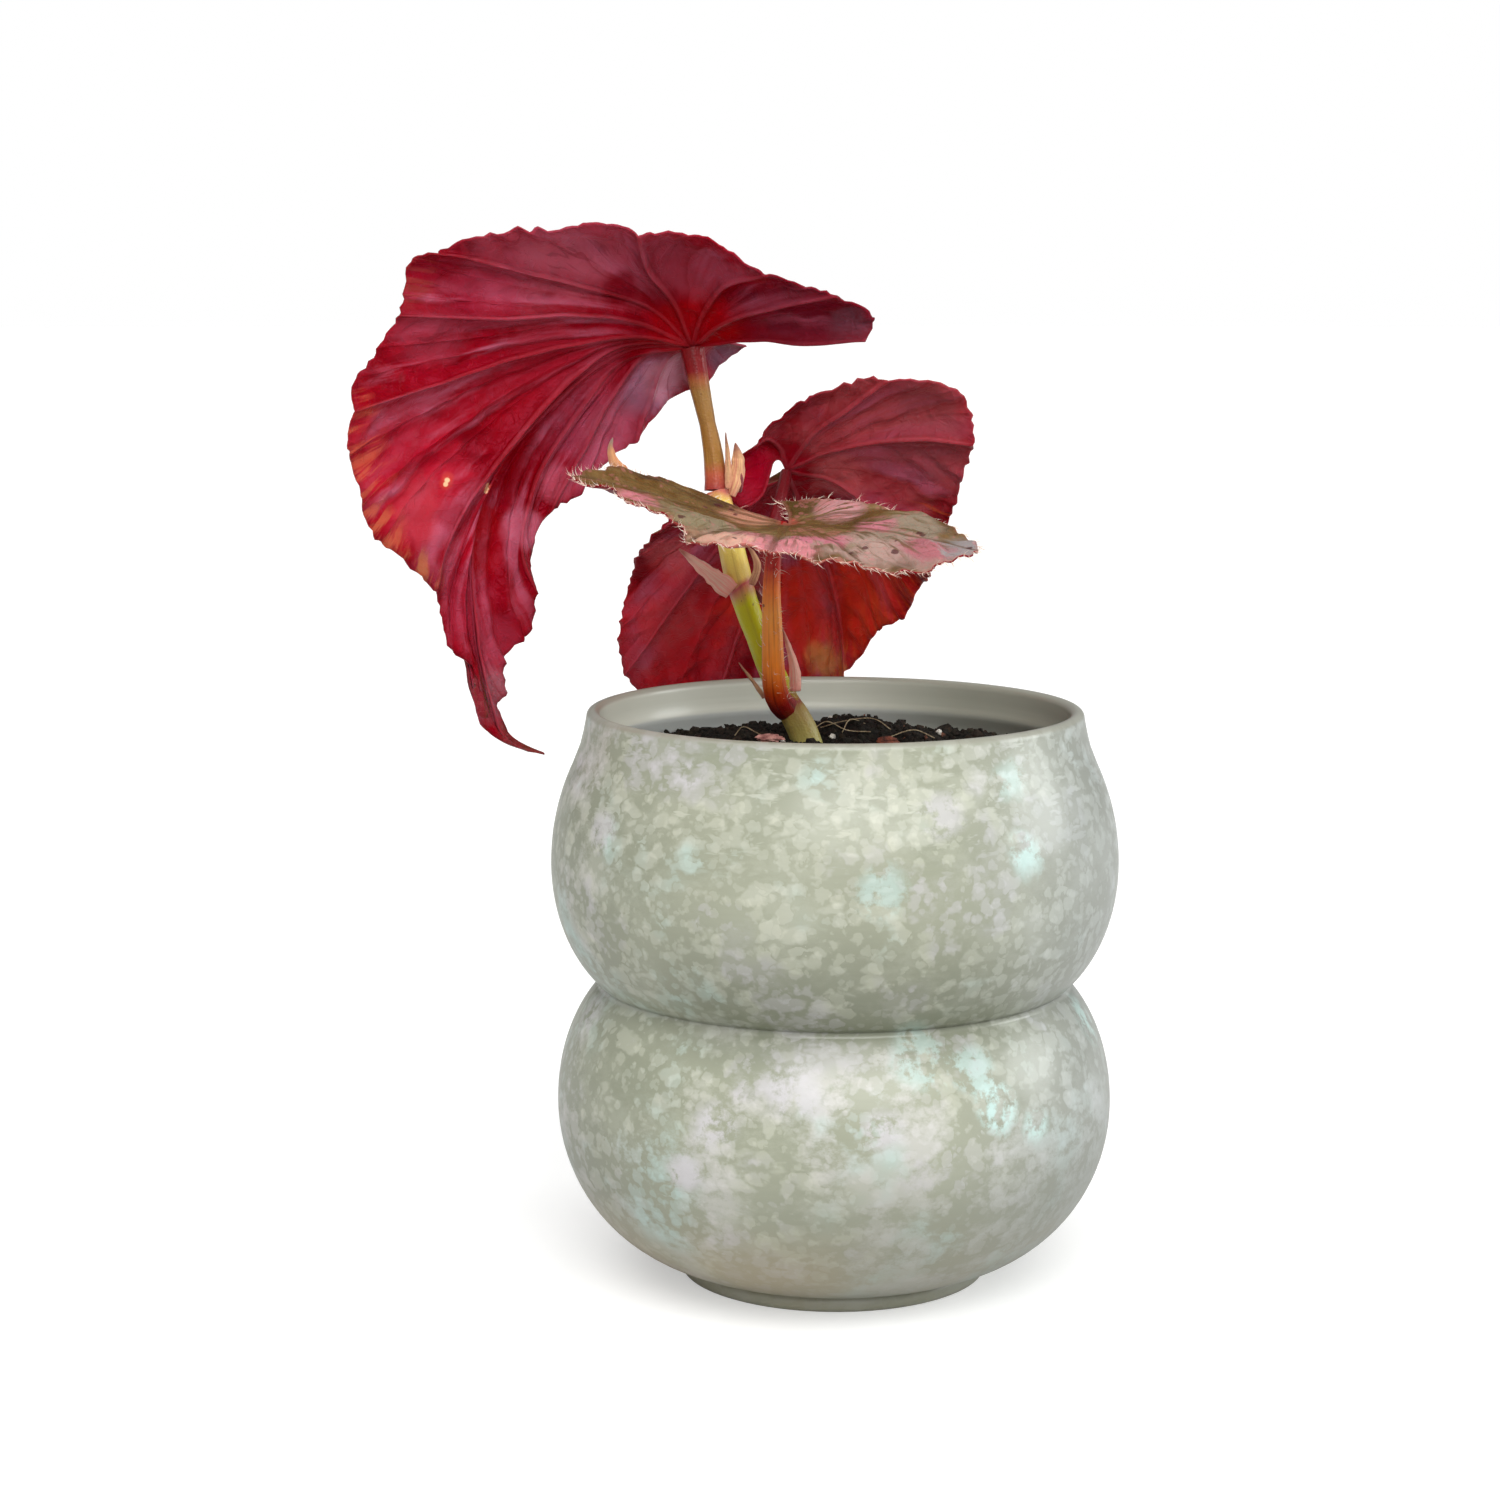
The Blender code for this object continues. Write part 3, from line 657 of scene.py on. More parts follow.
def new_tree(name, kind, inputs, outputs):
    """An empty node group with named sockets: (name, socket type, value) for each input."""
    tree = bpy.data.node_groups.new(name, kind)
    for label, socket_type, value in inputs:
        socket = tree.interface.new_socket(label, in_out="INPUT", socket_type=socket_type)
        if value is not None:
            socket.default_value = value
    for label, socket_type in outputs:
        tree.interface.new_socket(label, in_out="OUTPUT", socket_type=socket_type)
    recipe = Recipe(tree)
    return tree, recipe, recipe.node("NodeGroupInput").outputs, recipe.node("NodeGroupOutput")


def grow(name, mesh, tree, **values):
    """Runs a geometry tree on a mesh and keeps the result as a plain mesh object."""
    seedling = link_object(name + "_seedling", mesh)
    modifier = seedling.modifiers.new("grow", "NODES")
    modifier.node_group = tree
    for socket in tree.interface.items_tree:
        if socket.in_out == "INPUT" and socket.name in values:
            modifier[socket.identifier] = values[socket.name]
    graph = bpy.context.evaluated_depsgraph_get()
    grown = bpy.data.meshes.new_from_object(
        seedling.evaluated_get(graph), preserve_all_data_layers=True, depsgraph=graph)
    grown.name = name
    bpy.data.objects.remove(seedling, do_unlink=True)
    used = [material for material in grown.materials if material]
    grown.materials.clear()
    for material in used:
        grown.materials.append(material)
    grown.polygons.foreach_set("material_index", np.zeros(len(grown.polygons), np.int32))
    return link_object(name, grown)


def turning_tree():
    """Turns an outline of (r, 0, z) points about the Z axis, slightly uneven as thrown clay is."""
    tree, make, given, result = new_tree(
        "turned_on_a_wheel", "GeometryNodeTree",
        [("Outline", "NodeSocketGeometry", None), ("Steps", "NodeSocketInt", POT_STEPS),
         ("Unevenness", "NodeSocketFloat", 0.0001), ("Material", "NodeSocketMaterial", None)],
        [("Geometry", "NodeSocketGeometry")])
    outline = make.put("GeometryNodeMeshToCurve", {"Mesh": given["Outline"]})
    lay_flat = make.put("GeometryNodeTransform",
                        {"Geometry": outline, "Translation": (-0.05, 0, 0),
                         "Rotation": (-math.pi / 2, 0, 0)})
    upright = make.put("GeometryNodeTransform", {"Geometry": lay_flat, "Scale": (1, -1, 1)})
    wheel = make.put("GeometryNodeCurvePrimitiveCircle",
                     {"Resolution": given["Steps"], "Radius": 0.05})
    wheel = make.put("GeometryNodeSetCurveNormal", {"Curve": wheel}, mode="Z_UP")
    body = make.put("GeometryNodeCurveToMesh", {"Curve": wheel, "Profile Curve": upright})
    body = make.put("GeometryNodeMergeByDistance", {"Geometry": body, "Distance": 0.00002})
    at = make.put("GeometryNodeInputPosition", {})
    wobble = make.put("ShaderNodeTexNoise", {"Vector": at, "Scale": 22.0, "Detail": 1.0})
    amount = make.times(make.centred(wobble), given["Unevenness"])
    amount = make.times(amount, 2.0)
    normal = make.put("GeometryNodeInputNormal", {})
    offset = make.vector_math("SCALE", normal, scale=amount)
    height = make.put("ShaderNodeSeparateXYZ", {0: at}, output="Z")
    above_foot = make.math("GREATER_THAN", height, FOOT_HEIGHT * MM)
    body = make.put("GeometryNodeSetPosition",
                    {"Geometry": body, "Selection": above_foot, "Offset": offset})
    body = make.put("GeometryNodeSetShadeSmooth", {"Geometry": body})
    body = make.put("GeometryNodeRealizeInstances", {"Geometry": body})
    body = make.put("GeometryNodeSetMaterial", {"Geometry": body, "Material": given["Material"]})
    make.feed(result.inputs[0], body)
    return tree


def stem_tree():
    """A round stem along a line whose points hold a radius, with low ridges along it."""
    tree, make, given, result = new_tree(
        "round_stem", "GeometryNodeTree",
        [("Line", "NodeSocketGeometry", None), ("Sides", "NodeSocketInt", 28),
         ("Ridges", "NodeSocketFloat", 7.0), ("Ridge Height", "NodeSocketFloat", 0.00006),
         ("Unevenness", "NodeSocketFloat", 0.0001), ("Material", "NodeSocketMaterial", None)],
        [("Geometry", "NodeSocketGeometry")])
    line = make.put("GeometryNodeMeshToCurve", {"Mesh": given["Line"]})
    radius = make.put("GeometryNodeInputNamedAttribute", {"Name": "thickness"}, data_type="FLOAT")
    ring = make.put("GeometryNodeCurvePrimitiveCircle",
                    {"Resolution": given["Sides"], "Radius": 1.0})
    turn = make.put("GeometryNodeSplineParameter", {}, output="Factor")
    ring = make.put("GeometryNodeStoreNamedAttribute",
                    {"Geometry": ring, "Name": "round", "Value": turn}, data_type="FLOAT",
                    domain="POINT")
    stem = make.put("GeometryNodeCurveToMesh",
                    {"Curve": line, "Profile Curve": ring, "Scale": radius, "Fill Caps": True})
    around = make.put("GeometryNodeInputNamedAttribute", {"Name": "round"}, data_type="FLOAT")
    angle = make.times(make.times(around, math.tau), given["Ridges"])
    ridge = make.times(make.math("COSINE", angle), given["Ridge Height"])
    at = make.put("GeometryNodeInputPosition", {})
    wobble = make.put("ShaderNodeTexNoise", {"Vector": at, "Scale": 260.0, "Detail": 2.0})
    uneven = make.times(make.centred(wobble), given["Unevenness"])
    amount = make.math("ADD", ridge, uneven)
    normal = make.put("GeometryNodeInputNormal", {})
    offset = make.vector_math("SCALE", normal, scale=amount)
    stem = make.put("GeometryNodeSetPosition", {"Geometry": stem, "Offset": offset})
    stem = make.put("GeometryNodeSetShadeSmooth", {"Geometry": stem})
    stem = make.put("GeometryNodeRealizeInstances", {"Geometry": stem})
    stem = make.put("GeometryNodeSetMaterial", {"Geometry": stem, "Material": given["Material"]})
    make.feed(result.inputs[0], stem)
    return tree


def hair_tree():
    """Short tapering hairs on points, each leaning the way its point's lean says."""
    tree, make, given, result = new_tree(
        "leaf_hairs", "GeometryNodeTree",
        [("Roots", "NodeSocketGeometry", None), ("Length", "NodeSocketFloat", 0.001),
         ("Thickness", "NodeSocketFloat", 0.00006), ("Untidiness", "NodeSocketFloat", 0.5),
         ("Seed", "NodeSocketInt", 1), ("Material", "NodeSocketMaterial", None)],
        [("Geometry", "NodeSocketGeometry")])
    roots = make.put("GeometryNodeMeshToPoints", {"Mesh": given["Roots"]})
    half = make.times(given["Length"], 0.5)
    hair = make.put("GeometryNodeMeshCone",
                    {"Vertices": 4, "Side Segments": 3, "Radius Top": 0.0,
                     "Radius Bottom": given["Thickness"], "Depth": given["Length"]})
    at = make.put("GeometryNodeInputPosition", {})
    height = make.put("ShaderNodeSeparateXYZ", {0: at}, output="Z")
    share = make.math("DIVIDE", height, given["Length"])
    bend = make.times(make.times(share, share), half)
    sideways = make.put("ShaderNodeCombineXYZ", {0: bend})
    hair = make.put("GeometryNodeSetPosition", {"Geometry": hair, "Offset": sideways})
    lean = make.put("GeometryNodeInputNamedAttribute", {"Name": "lean"}, data_type="FLOAT_VECTOR")
    stray = make.put("FunctionNodeRandomValue",
                     {"Min": (-1, -1, -1), "Max": (1, 1, 1), "Seed": given["Seed"]},
                     data_type="FLOAT_VECTOR")
    stray = make.vector_math("SCALE", stray, scale=given["Untidiness"])
    toward = make.vector_math("ADD", lean, stray)
    turn = make.put("FunctionNodeAlignRotationToVector", {"Vector": toward}, axis="Z")
    size = make.node("FunctionNodeRandomValue", data_type="FLOAT")
    make.feed(size.inputs[2], 0.4)
    make.feed(size.inputs[3], 1.25)
    make.feed(size.inputs["Seed"], given["Seed"])
    hairs = make.put("GeometryNodeInstanceOnPoints",
                     {"Points": roots, "Instance": hair, "Rotation": turn,
                      "Scale": size.outputs[1]})
    hairs = make.put("GeometryNodeRealizeInstances", {"Geometry": hairs})
    hairs = make.put("GeometryNodeSetMaterial", {"Geometry": hairs, "Material": given["Material"]})
    make.feed(result.inputs[0], hairs)
    return tree


def crumb_tree():
    """Uneven crumbs of one kind strewn over a surface and half sunk in it."""
    tree, make, given, result = new_tree(
        "strewn_crumbs", "GeometryNodeTree",
        [("Ground", "NodeSocketGeometry", None), ("Crumbs per Square Metre", "NodeSocketFloat", 1e5),
         ("Smallest", "NodeSocketFloat", 0.0003), ("Largest", "NodeSocketFloat", 0.001),
         ("Flatness", "NodeSocketFloat", 0.7), ("Roughness", "NodeSocketFloat", 0.4),
         ("Detail", "NodeSocketInt", 1), ("Seed", "NodeSocketInt", 1),
         ("Material", "NodeSocketMaterial", None)],
        [("Geometry", "NodeSocketGeometry")])
    points = make.put("GeometryNodeDistributePointsOnFaces",
                      {"Mesh": given["Ground"], "Density": given["Crumbs per Square Metre"],
                       "Seed": given["Seed"]})
    crumb = make.put("GeometryNodeMeshIcoSphere", {"Radius": 1.0, "Subdivisions": given["Detail"]})
    turn = make.put("FunctionNodeRandomValue",
                    {"Min": (0, 0, 0), "Max": (math.tau, math.tau, math.tau),
                     "Seed": given["Seed"]}, data_type="FLOAT_VECTOR")
    size = make.node("FunctionNodeRandomValue", data_type="FLOAT")
    make.feed(size.inputs[2], 0.0)
    make.feed(size.inputs[3], 1.0)
    make.feed(size.inputs["Seed"], make.math("ADD", given["Seed"], 5.0))
    share = make.math("POWER", size.outputs[1], 2.2)
    spread = make.math("SUBTRACT", given["Largest"], given["Smallest"])
    across = make.math("MULTIPLY_ADD", share, spread, given["Smallest"])
    deep = make.times(across, given["Flatness"])
    scale = make.put("ShaderNodeCombineXYZ", {0: across, 1: deep, 2: deep})
    crumbs = make.put("GeometryNodeInstanceOnPoints",
                      {"Points": points, "Instance": crumb, "Rotation": turn, "Scale": scale})
    crumbs = make.put("GeometryNodeRealizeInstances", {"Geometry": crumbs})
    at = make.put("GeometryNodeInputPosition", {})
    wave = make.math("DIVIDE", 0.9, given["Largest"])
    lumps = make.put("ShaderNodeTexNoise", {"Vector": at, "Scale": wave, "Detail": 2.0})
    lumps = make.times(make.centred(lumps), given["Roughness"])
    lumps = make.times(lumps, given["Largest"])
    normal = make.put("GeometryNodeInputNormal", {})
    offset = make.vector_math("SCALE", normal, scale=lumps)
    crumbs = make.put("GeometryNodeSetPosition", {"Geometry": crumbs, "Offset": offset})
    crumbs = make.put("GeometryNodeSetMaterial",
                      {"Geometry": crumbs, "Material": given["Material"]})
    make.feed(result.inputs[0], crumbs)
    return tree


# ---------------------------------------------------------------- shared shader effects


def shaken(make, vector, scale, detail, reach):
    """A place moved about by noise, by up to half the reach each way."""
    shake = make.put("ShaderNodeTexNoise", {"Vector": vector, "Scale": scale, "Detail": detail},
                     output="Color")
    shake = make.vector_math("SUBTRACT", shake, (0.5, 0.5, 0.5))
    return make.vector_math("ADD", vector, make.vector_math("SCALE", shake, scale=reach))


def speckle_group():
    """Round spots with uneven edges, thick in some places and thin in others."""
    tree, make, given, result = new_tree(
        "speckles", "ShaderNodeTree",
        [("Vector", "NodeSocketVector", None), ("Scale", "NodeSocketFloat", 200.0),
         ("Size", "NodeSocketFloat", 0.4), ("Softness", "NodeSocketFloat", 0.1),
         ("Wobble", "NodeSocketFloat", 0.3), ("Clumping", "NodeSocketFloat", 0.3)],
        [("Mask", "NodeSocketFloat")])
    scale = given["Scale"]
    reach = make.math("DIVIDE", given["Wobble"], scale)
    moved = shaken(make, given["Vector"], make.times(scale, 1.6), 2.0, reach)
    distance = make.cells(moved, scale)
    chance = make.put("ShaderNodeSeparateColor", {0: make.cells(moved, scale, output="Color")})
    thick = make.noise(given["Vector"], make.times(scale, 0.17), 1.0)
    thick = make.times(make.centred(thick), given["Clumping"])
    spread = make.times(make.math("SUBTRACT", chance, 0.45), given["Size"])
    radius = make.math("ADD", given["Size"], spread)
    radius = make.math("ADD", radius, make.times(thick, 3.0))
    near = make.math("SUBTRACT", radius, distance)
    make.feed(result.inputs[0], make.step(near, 0.0, given["Softness"]))
    return tree


def skin_group():
    """The fine cells and slight unevenness of a living skin, as a height from 0 to 1."""
    tree, make, given, result = new_tree(
        "plant_skin", "ShaderNodeTree",
        [("Vector", "NodeSocketVector", None), ("Cells", "NodeSocketFloat", 2500.0),
         ("Lumps", "NodeSocketFloat", 500.0), ("Lumpiness", "NodeSocketFloat", 0.5)],
        [("Height", "NodeSocketFloat")])
    cell = make.cells(given["Vector"], given["Cells"])
    lump = make.noise(given["Vector"], given["Lumps"], 3.0, 0.6)
    cell = make.times(cell, make.math("SUBTRACT", 1.0, given["Lumpiness"]))
    height = make.math("MULTIPLY_ADD", lump, given["Lumpiness"], cell)
    make.feed(result.inputs[0], height)
    return tree


def vein_group():
    """Vein relief of a blade from its stored distances: main veins, branches and side veins."""
    tree, make, given, result = new_tree(
        "leaf_veins", "ShaderNodeTree",
        [("Vector", "NodeSocketVector", None), ("From Vein", "NodeSocketFloat", 0.0),
         ("From Branch", "NodeSocketFloat", 0.0), ("Along", "NodeSocketFloat", 0.0),
         ("Width", "NodeSocketFloat", 0.5), ("Side Spacing", "NodeSocketFloat", 5.0)],
        [("Lines", "NodeSocketFloat"), ("Relief", "NodeSocketFloat")])
    taper = make.step(given["Along"], 5.0, 75.0, 1.3, 0.45)
    width = make.times(given["Width"], taper)
    main = make.step(make.math("DIVIDE", given["From Vein"], width), 0.35, 1.3, 1.0, 0.0)
    thin = make.times(width, 0.55)
    branch = make.step(make.math("DIVIDE", given["From Branch"], thin), 0.3, 1.4, 0.6, 0.0)
    drawn = make.step(given["Along"], 22.0, 50.0)
    branch = make.times(branch, drawn)
    near = make.math("ADD", given["From Branch"], 0.6)
    near = make.math("MINIMUM", given["From Vein"], near)
    sway = make.noise(given["Vector"], 160.0, 2.0)
    path = make.math("MULTIPLY_ADD", near, -1.15, given["Along"])
    path = make.math("MULTIPLY_ADD", sway, 5.0, path)
    turn = make.math("FRACT", make.math("DIVIDE", path, given["Side Spacing"]))
    off = make.times(make.math("ABSOLUTE", make.centred(turn)), 2.0)
    side = make.step(off, 0.80, 0.97, 0.0, 0.5)
    lines = make.math("MAXIMUM", main, make.math("MAXIMUM", branch, side))
    mesh = make.cells(given["Vector"], 620.0, feature="DISTANCE_TO_EDGE")
    mesh = make.step(mesh, 0.0, 0.12, 0.28, 0.0)
    pillow = make.times(make.step(off, 0.0, 1.0), 0.35)
    relief = make.math("MAXIMUM", make.math("MAXIMUM", lines, mesh), pillow)
    make.feed(result.inputs["Lines"], lines)
    make.feed(result.inputs["Relief"], relief)
    return tree


def quilting_group():
    """Puffed cells of a blade between its small veins, 0 in the seams and 1 on the puffs."""
    tree, make, given, result = new_tree(
        "leaf_quilting", "ShaderNodeTree",
        [("Vector", "NodeSocketVector", None), ("Scale", "NodeSocketFloat", 150.0),
         ("Unevenness", "NodeSocketFloat", 0.5)],
        [("Height", "NodeSocketFloat")])
    scale = given["Scale"]
    reach = make.math("DIVIDE", make.times(given["Unevenness"], 3.0), scale)
    moved = shaken(make, given["Vector"], make.times(scale, 0.7), 3.0, reach)
    large = make.step(make.cells(moved, scale, feature="DISTANCE_TO_EDGE"), 0.0, 0.34)
    small = make.cells(moved, make.times(scale, 2.9), feature="DISTANCE_TO_EDGE")
    small = make.step(small, 0.0, 0.3, 0.72, 1.0)
    make.feed(result.inputs[0], make.times(large, small))
    return tree


SPECKLES = speckle_group()
QUILTING = quilting_group()
SKIN = skin_group()
VEINS = vein_group()


# ---------------------------------------------------------------- materials


def new_material(name, **sockets):
    """A material with a Principled shader; constants are set on the shader's own sockets."""
    material = bpy.data.materials.new(name)
    material.use_nodes = True
    make = Recipe(material.node_tree)
    shader = material.node_tree.nodes["Principled BSDF"]
    for label, value in sockets.items():
        shader.inputs[label.replace("_", " ")].default_value = value
    return material, make, shader


def paint_patches(make, at, colour, patches):
    """Mixes soft-edged patches into a colour; each is (middle in mm, reach, colour, amount)."""
    edge = make.noise(at, 95.0, 3.0, 0.6)
    for middle, reach, tint, amount in patches:
        centre = tuple(c * MM for c in middle)
        away = make.vector_math("DISTANCE", at, centre)
        away = make.math("MULTIPLY_ADD", make.centred(edge), 1.5 * reach * MM, away)
        share = make.step(away, reach * MM, 0.45 * reach * MM, 0.0, amount)
        colour = make.tinge(colour, share, tint)
    return colour


def drawn_out(make, fields, waves, detail, roughness):
    """Noise over fields stored on a piece, with so many waves to one unit of each field."""
    scaled = [make.times(field, wave) for field, wave in zip(fields, waves)]
    place = make.put("ShaderNodeCombineXYZ", dict(enumerate(scaled)))
    return make.noise(place, 1.0, detail, roughness)


def crystal_masks(make, at, height):
    """The glaze's pale crystals, fine to broad, and the cloudy places where they drift."""
    flecks = {"Vector": at, "Scale": 450.0, "Size": 0.36, "Softness": 0.15, "Wobble": 0.8,
              "Clumping": 0.1}
    fine = make.group(SPECKLES, flecks)
    middle = make.group(SPECKLES, {**flecks, "Scale": 310.0})
    other = make.put("ShaderNodeMapping", {"Vector": at, "Location": (0.031, 0.017, 0.023)})
    second = make.group(SPECKLES, {**flecks, "Vector": other, "Scale": 215.0, "Wobble": 1.0})
    flat = make.stretched(other, 1.0, 1.0, 1.9)
    broad = make.group(SPECKLES, {**flecks, "Vector": flat, "Scale": 130.0, "Size": 0.33,
                                  "Softness": 0.2, "Wobble": 1.2, "Clumping": 0.2})
    drifts = make.step(make.noise(make.stretched(at, 1.0, 1.0, 1.5), 60.0, 6.0, 0.7), 0.45, 0.6)
    dense = make.step(make.noise(at, 30.0, 2.0, 0.5), 0.3, 0.6)
    cloudy = make.math("ADD", make.step(height, 34.0, 66.0, 0.12, 0.0),
                       make.noise(at, 32.0, 3.0, 0.6))
    cloudy = make.step(cloudy, 0.54, 0.68)
    drifts = make.times(drifts, make.math("MULTIPLY_ADD", cloudy, 0.55, 0.2))
    pale = make.times(fine, 0.22)
    for layer, amount in ((middle, 0.3), (second, 0.34), (broad, 0.34), (drifts, 0.75)):
        rest = make.math("SUBTRACT", 1.0, pale)
        pale = make.math("MULTIPLY_ADD", make.times(layer, amount), rest, pale)
    pale = make.times(pale, make.math("MULTIPLY_ADD", dense, 0.22, 0.78))
    dashes = make.noise(make.stretched(at, 1.0, 1.0, 3.2), 130.0, 3.0, 0.6)
    dashes = make.times(make.step(dashes, 0.56, 0.66), make.step(height, 80.0, 98.0))
    return make.math("MAXIMUM", pale, make.times(dashes, 0.5)), cloudy


def glaze_colour(make, at, side, height, pale, cloudy):
    """Sage glaze on the outside, pale with crystals, with painted shade under the upper bulb,
    on both sides and low down, painted light on the foot and a painted warm reflection low down.
    """
    clouds = make.noise(at, 26.0, 3.0, 0.6)
    ground = make.ramp(clouds, (0.3, (143, 147, 127)), (0.55, (154, 157, 137)),
                       (0.75, (164, 167, 148)))
    # Painted warm reflection low on the pot, in patches.
    warm_reflection = make.times(make.step(height, 26.0, 8.0), make.step(clouds, 0.7, 0.4))
    ground = make.tinge(ground, warm_reflection, (158, 146, 118), 0.7)
    tint = make.noise(at, 42.0, 3.0, 0.6)
    crystal = make.ramp(tint, (0.4, (204, 200, 205)), (0.47, (206, 207, 189)),
                        (0.56, (205, 207, 193)), (0.68, (192, 218, 212)))
    crystal = make.mix(make.times(cloudy, 0.6), crystal,
                       make.ramp(tint, (0.54, (208, 203, 209)), (0.66, (196, 220, 218))))
    # Painted shade: the right side of the pot greyer and darker.
    painted_right_shade = make.step(side, 0.012, 0.05)
    ground = make.tinge(ground, painted_right_shade, (138, 141, 133))
    crystal = make.tinge(crystal, painted_right_shade, (180, 186, 186), 0.8)
    # Painted shade under the upper bulb and at the waist, less at the sides.
    painted_waist_shade = make.times(make.step(height, 84.0, 60.0), make.step(height, 48.0, 56.0))
    aside = make.math("ABSOLUTE", side)
    painted_waist_shade = make.times(painted_waist_shade, make.step(aside, 0.022, 0.038, 1.0, 0.1))
    ground = make.tinge(ground, painted_waist_shade, (100, 104, 86), 0.5)
    # Painted shade on the left side of the pot.
    painted_left_shade = make.step(side, -0.02, -0.052, 0.0, 0.6)
    ground = make.tinge(ground, painted_left_shade, (130, 134, 116))
    colour = make.mix(pale, ground, crystal)
    colour = make.tinge(colour, warm_reflection, (184, 164, 128), 0.4)
    # Painted light on the foot ring, against its contact shadow.
    colour = make.tinge(colour, make.step(height, 6.0, 3.0, 0.0, 0.6), (184, 184, 164))
    # Pale crystal blooms; the mint ones on the right of both bulbs are also a painted reflection,
    # and the two at the ends of the waist are painted light.
    blooms_and_light = paint_patches(make, at, colour, GLAZE_BLOOMS_AND_LIGHT)
    speckled = make.noise(at, 190.0, 5.0, 0.7)
    colour = make.mix(make.step(speckled, 0.42, 0.55), colour, blooms_and_light)
    # Painted shade low on the pot, strongest on the right.
    thin = make.step(height, 42.0, 22.0, 0.0, 0.5)
    thin = make.times(thin, make.step(side, -0.03, 0.012, 0.35, 1.0))
    colour = make.tinge(colour, thin, (118, 120, 108))
    # More painted shade under the upper bulb.
    return make.tinge(colour, painted_waist_shade, (108, 112, 94), 0.36)


def glaze_material():
    """Sage stoneware glaze with cloudy pale crystals outside and a plain, bluer inside, with painted
    shade on its right.
    """
    material, make, shader = new_material("crystal_glaze", Metallic=0.0, IOR=1.5,
                                          Coat_Weight=0.25, Coat_Roughness=0.14, Coat_IOR=1.5)
    at = make.place()
    parts = make.node("ShaderNodeSeparateXYZ")
    make.feed(parts.inputs[0], at)
    side = parts.outputs["X"]
    height = make.times(parts.outputs["Z"], 1000.0)
    across = make.put("ShaderNodeCombineXYZ", {0: side, 1: parts.outputs["Y"]})
    radius = make.times(make.vector_math("LENGTH", across), 1000.0)
    inside = make.times(make.step(radius, 45.6, 45.0), make.step(height, 90.0, 92.0))
    pale, cloudy = crystal_masks(make, at, height)
    pale = make.times(pale, make.math("SUBTRACT", 1.0, inside))
    colour = glaze_colour(make, at, side, height, pale, cloudy)
    low = make.step(height, 103.6, 102.6)
    wall = make.mix(low, linear(206, 207, 192), linear(204, 207, 202))
    # Painted shade on the right side of the inner wall.
    painted_wall_shade = make.step(side, -0.005, 0.03)
    wall = make.tinge(wall, painted_wall_shade, (132, 133, 118), 0.8)
    colour = make.mix(inside, colour, wall)
    colour = make.tinge(colour, make.step(height, 108.2, 109.0), (144, 143, 130), 0.75)
    make.feed(shader.inputs["Base Color"], colour)
    make.feed(shader.inputs["Roughness"], make.step(pale, 0.0, 0.8, 0.42, 0.52))
    rings = make.noise(make.stretched(at, 0.3, 0.3, 9.0), 60.0, 2.0)
    relief = make.math("MULTIPLY_ADD", rings, 0.4, make.times(pale, 0.3))
    relief = make.math("MULTIPLY_ADD", make.noise(at, 90.0, 2.0), 0.5, relief)
    make.feed(shader.inputs["Normal"], make.bump(relief, 0.0002, 0.8))
    return material


def soil_material(name, dark, light, grain):
    """Moist soil: dark bits with a few paler ones, rough and finely lumpy."""
    material, make, shader = new_material(name, Metallic=0.0, Specular_IOR_Level=0.25)
    at = make.place()
    bits = make.noise(at, grain, 4.0, 0.65)
    colour = make.ramp(bits, (0.35, dark), (0.62, light))
    tint = make.cells(at, grain * 0.8, output="Color")
    colour = make.mix(0.12, colour, tint, mode="OVERLAY")
    make.feed(shader.inputs["Base Color"], colour)
    make.feed(shader.inputs["Roughness"], make.step(bits, 0.3, 0.7, 0.98, 0.8))
    relief = make.noise(at, grain * 2.2, 5.0, 0.7)
    make.feed(shader.inputs["Normal"], make.bump(relief, 0.0006, 0.9))
    return material


def lay_veins(make, at, along, width, spacing):
    """The outputs of the vein group, fed with the distances stored on a blade."""
    veins = make.node("ShaderNodeGroup", node_tree=VEINS)
    feeds = {"Vector": at, "From Vein": make.attribute("from_vein"),
             "From Branch": make.attribute("from_branch"), "Along": along, "Width": width,
             "Side Spacing": spacing}
    for key, value in feeds.items():
        make.feed(veins.inputs[key], value)
    return veins.outputs


def silver_sheen(make, along, lane, edge, cloud, turn):
    """A painted sheen on one side of each fold, broken into streaks; also the folds' rise and the
    streaks.
    """
    rise = make.times(make.step(turn, 0.15, 0.75), make.step(turn, 0.82, 1.0, 1.0, 0.0))
    rise = make.times(rise, make.step(along, 6.0, 26.0))
    streaks = drawn_out(make, (along, lane), (0.03, 1.1), 4.0, 0.6)
    sheen = make.times(rise, make.step(streaks, 0.42, 0.58))
    flank = make.math("MULTIPLY_ADD", streaks, 2.6, make.attribute("flank"))
    sheen = make.math("MAXIMUM", sheen, make.step(flank, 1.7, 2.4, 0.0, 0.7))
    for fading in (make.step(along, 6.0, 20.0), make.step(edge, 0.5, 7.0, 0.3, 1.0),
                   make.step(cloud, 0.3, 0.6, 0.6, 0.95)):
        sheen = make.times(sheen, fading)
    return sheen, rise, streaks


def fine_crinkles(make, at, along, lane, sway, height):
    """Thin crinkles that run out with the veins, here and there high on a blade; their dark colour
    is painted shade.
    """
    crinkle = drawn_out(make, (along, lane, sway), (0.05, 2.3, 0.6), 2.0, 0.5)
    crinkle = make.math("ABSOLUTE", make.centred(crinkle))
    here = make.step(make.noise(at, 70.0, 2.0), 0.52, 0.6)
    crinkle = make.times(make.step(crinkle, 0.03, 0.008), here)
    return make.times(crinkle, make.step(height, 170.0, 186.0))


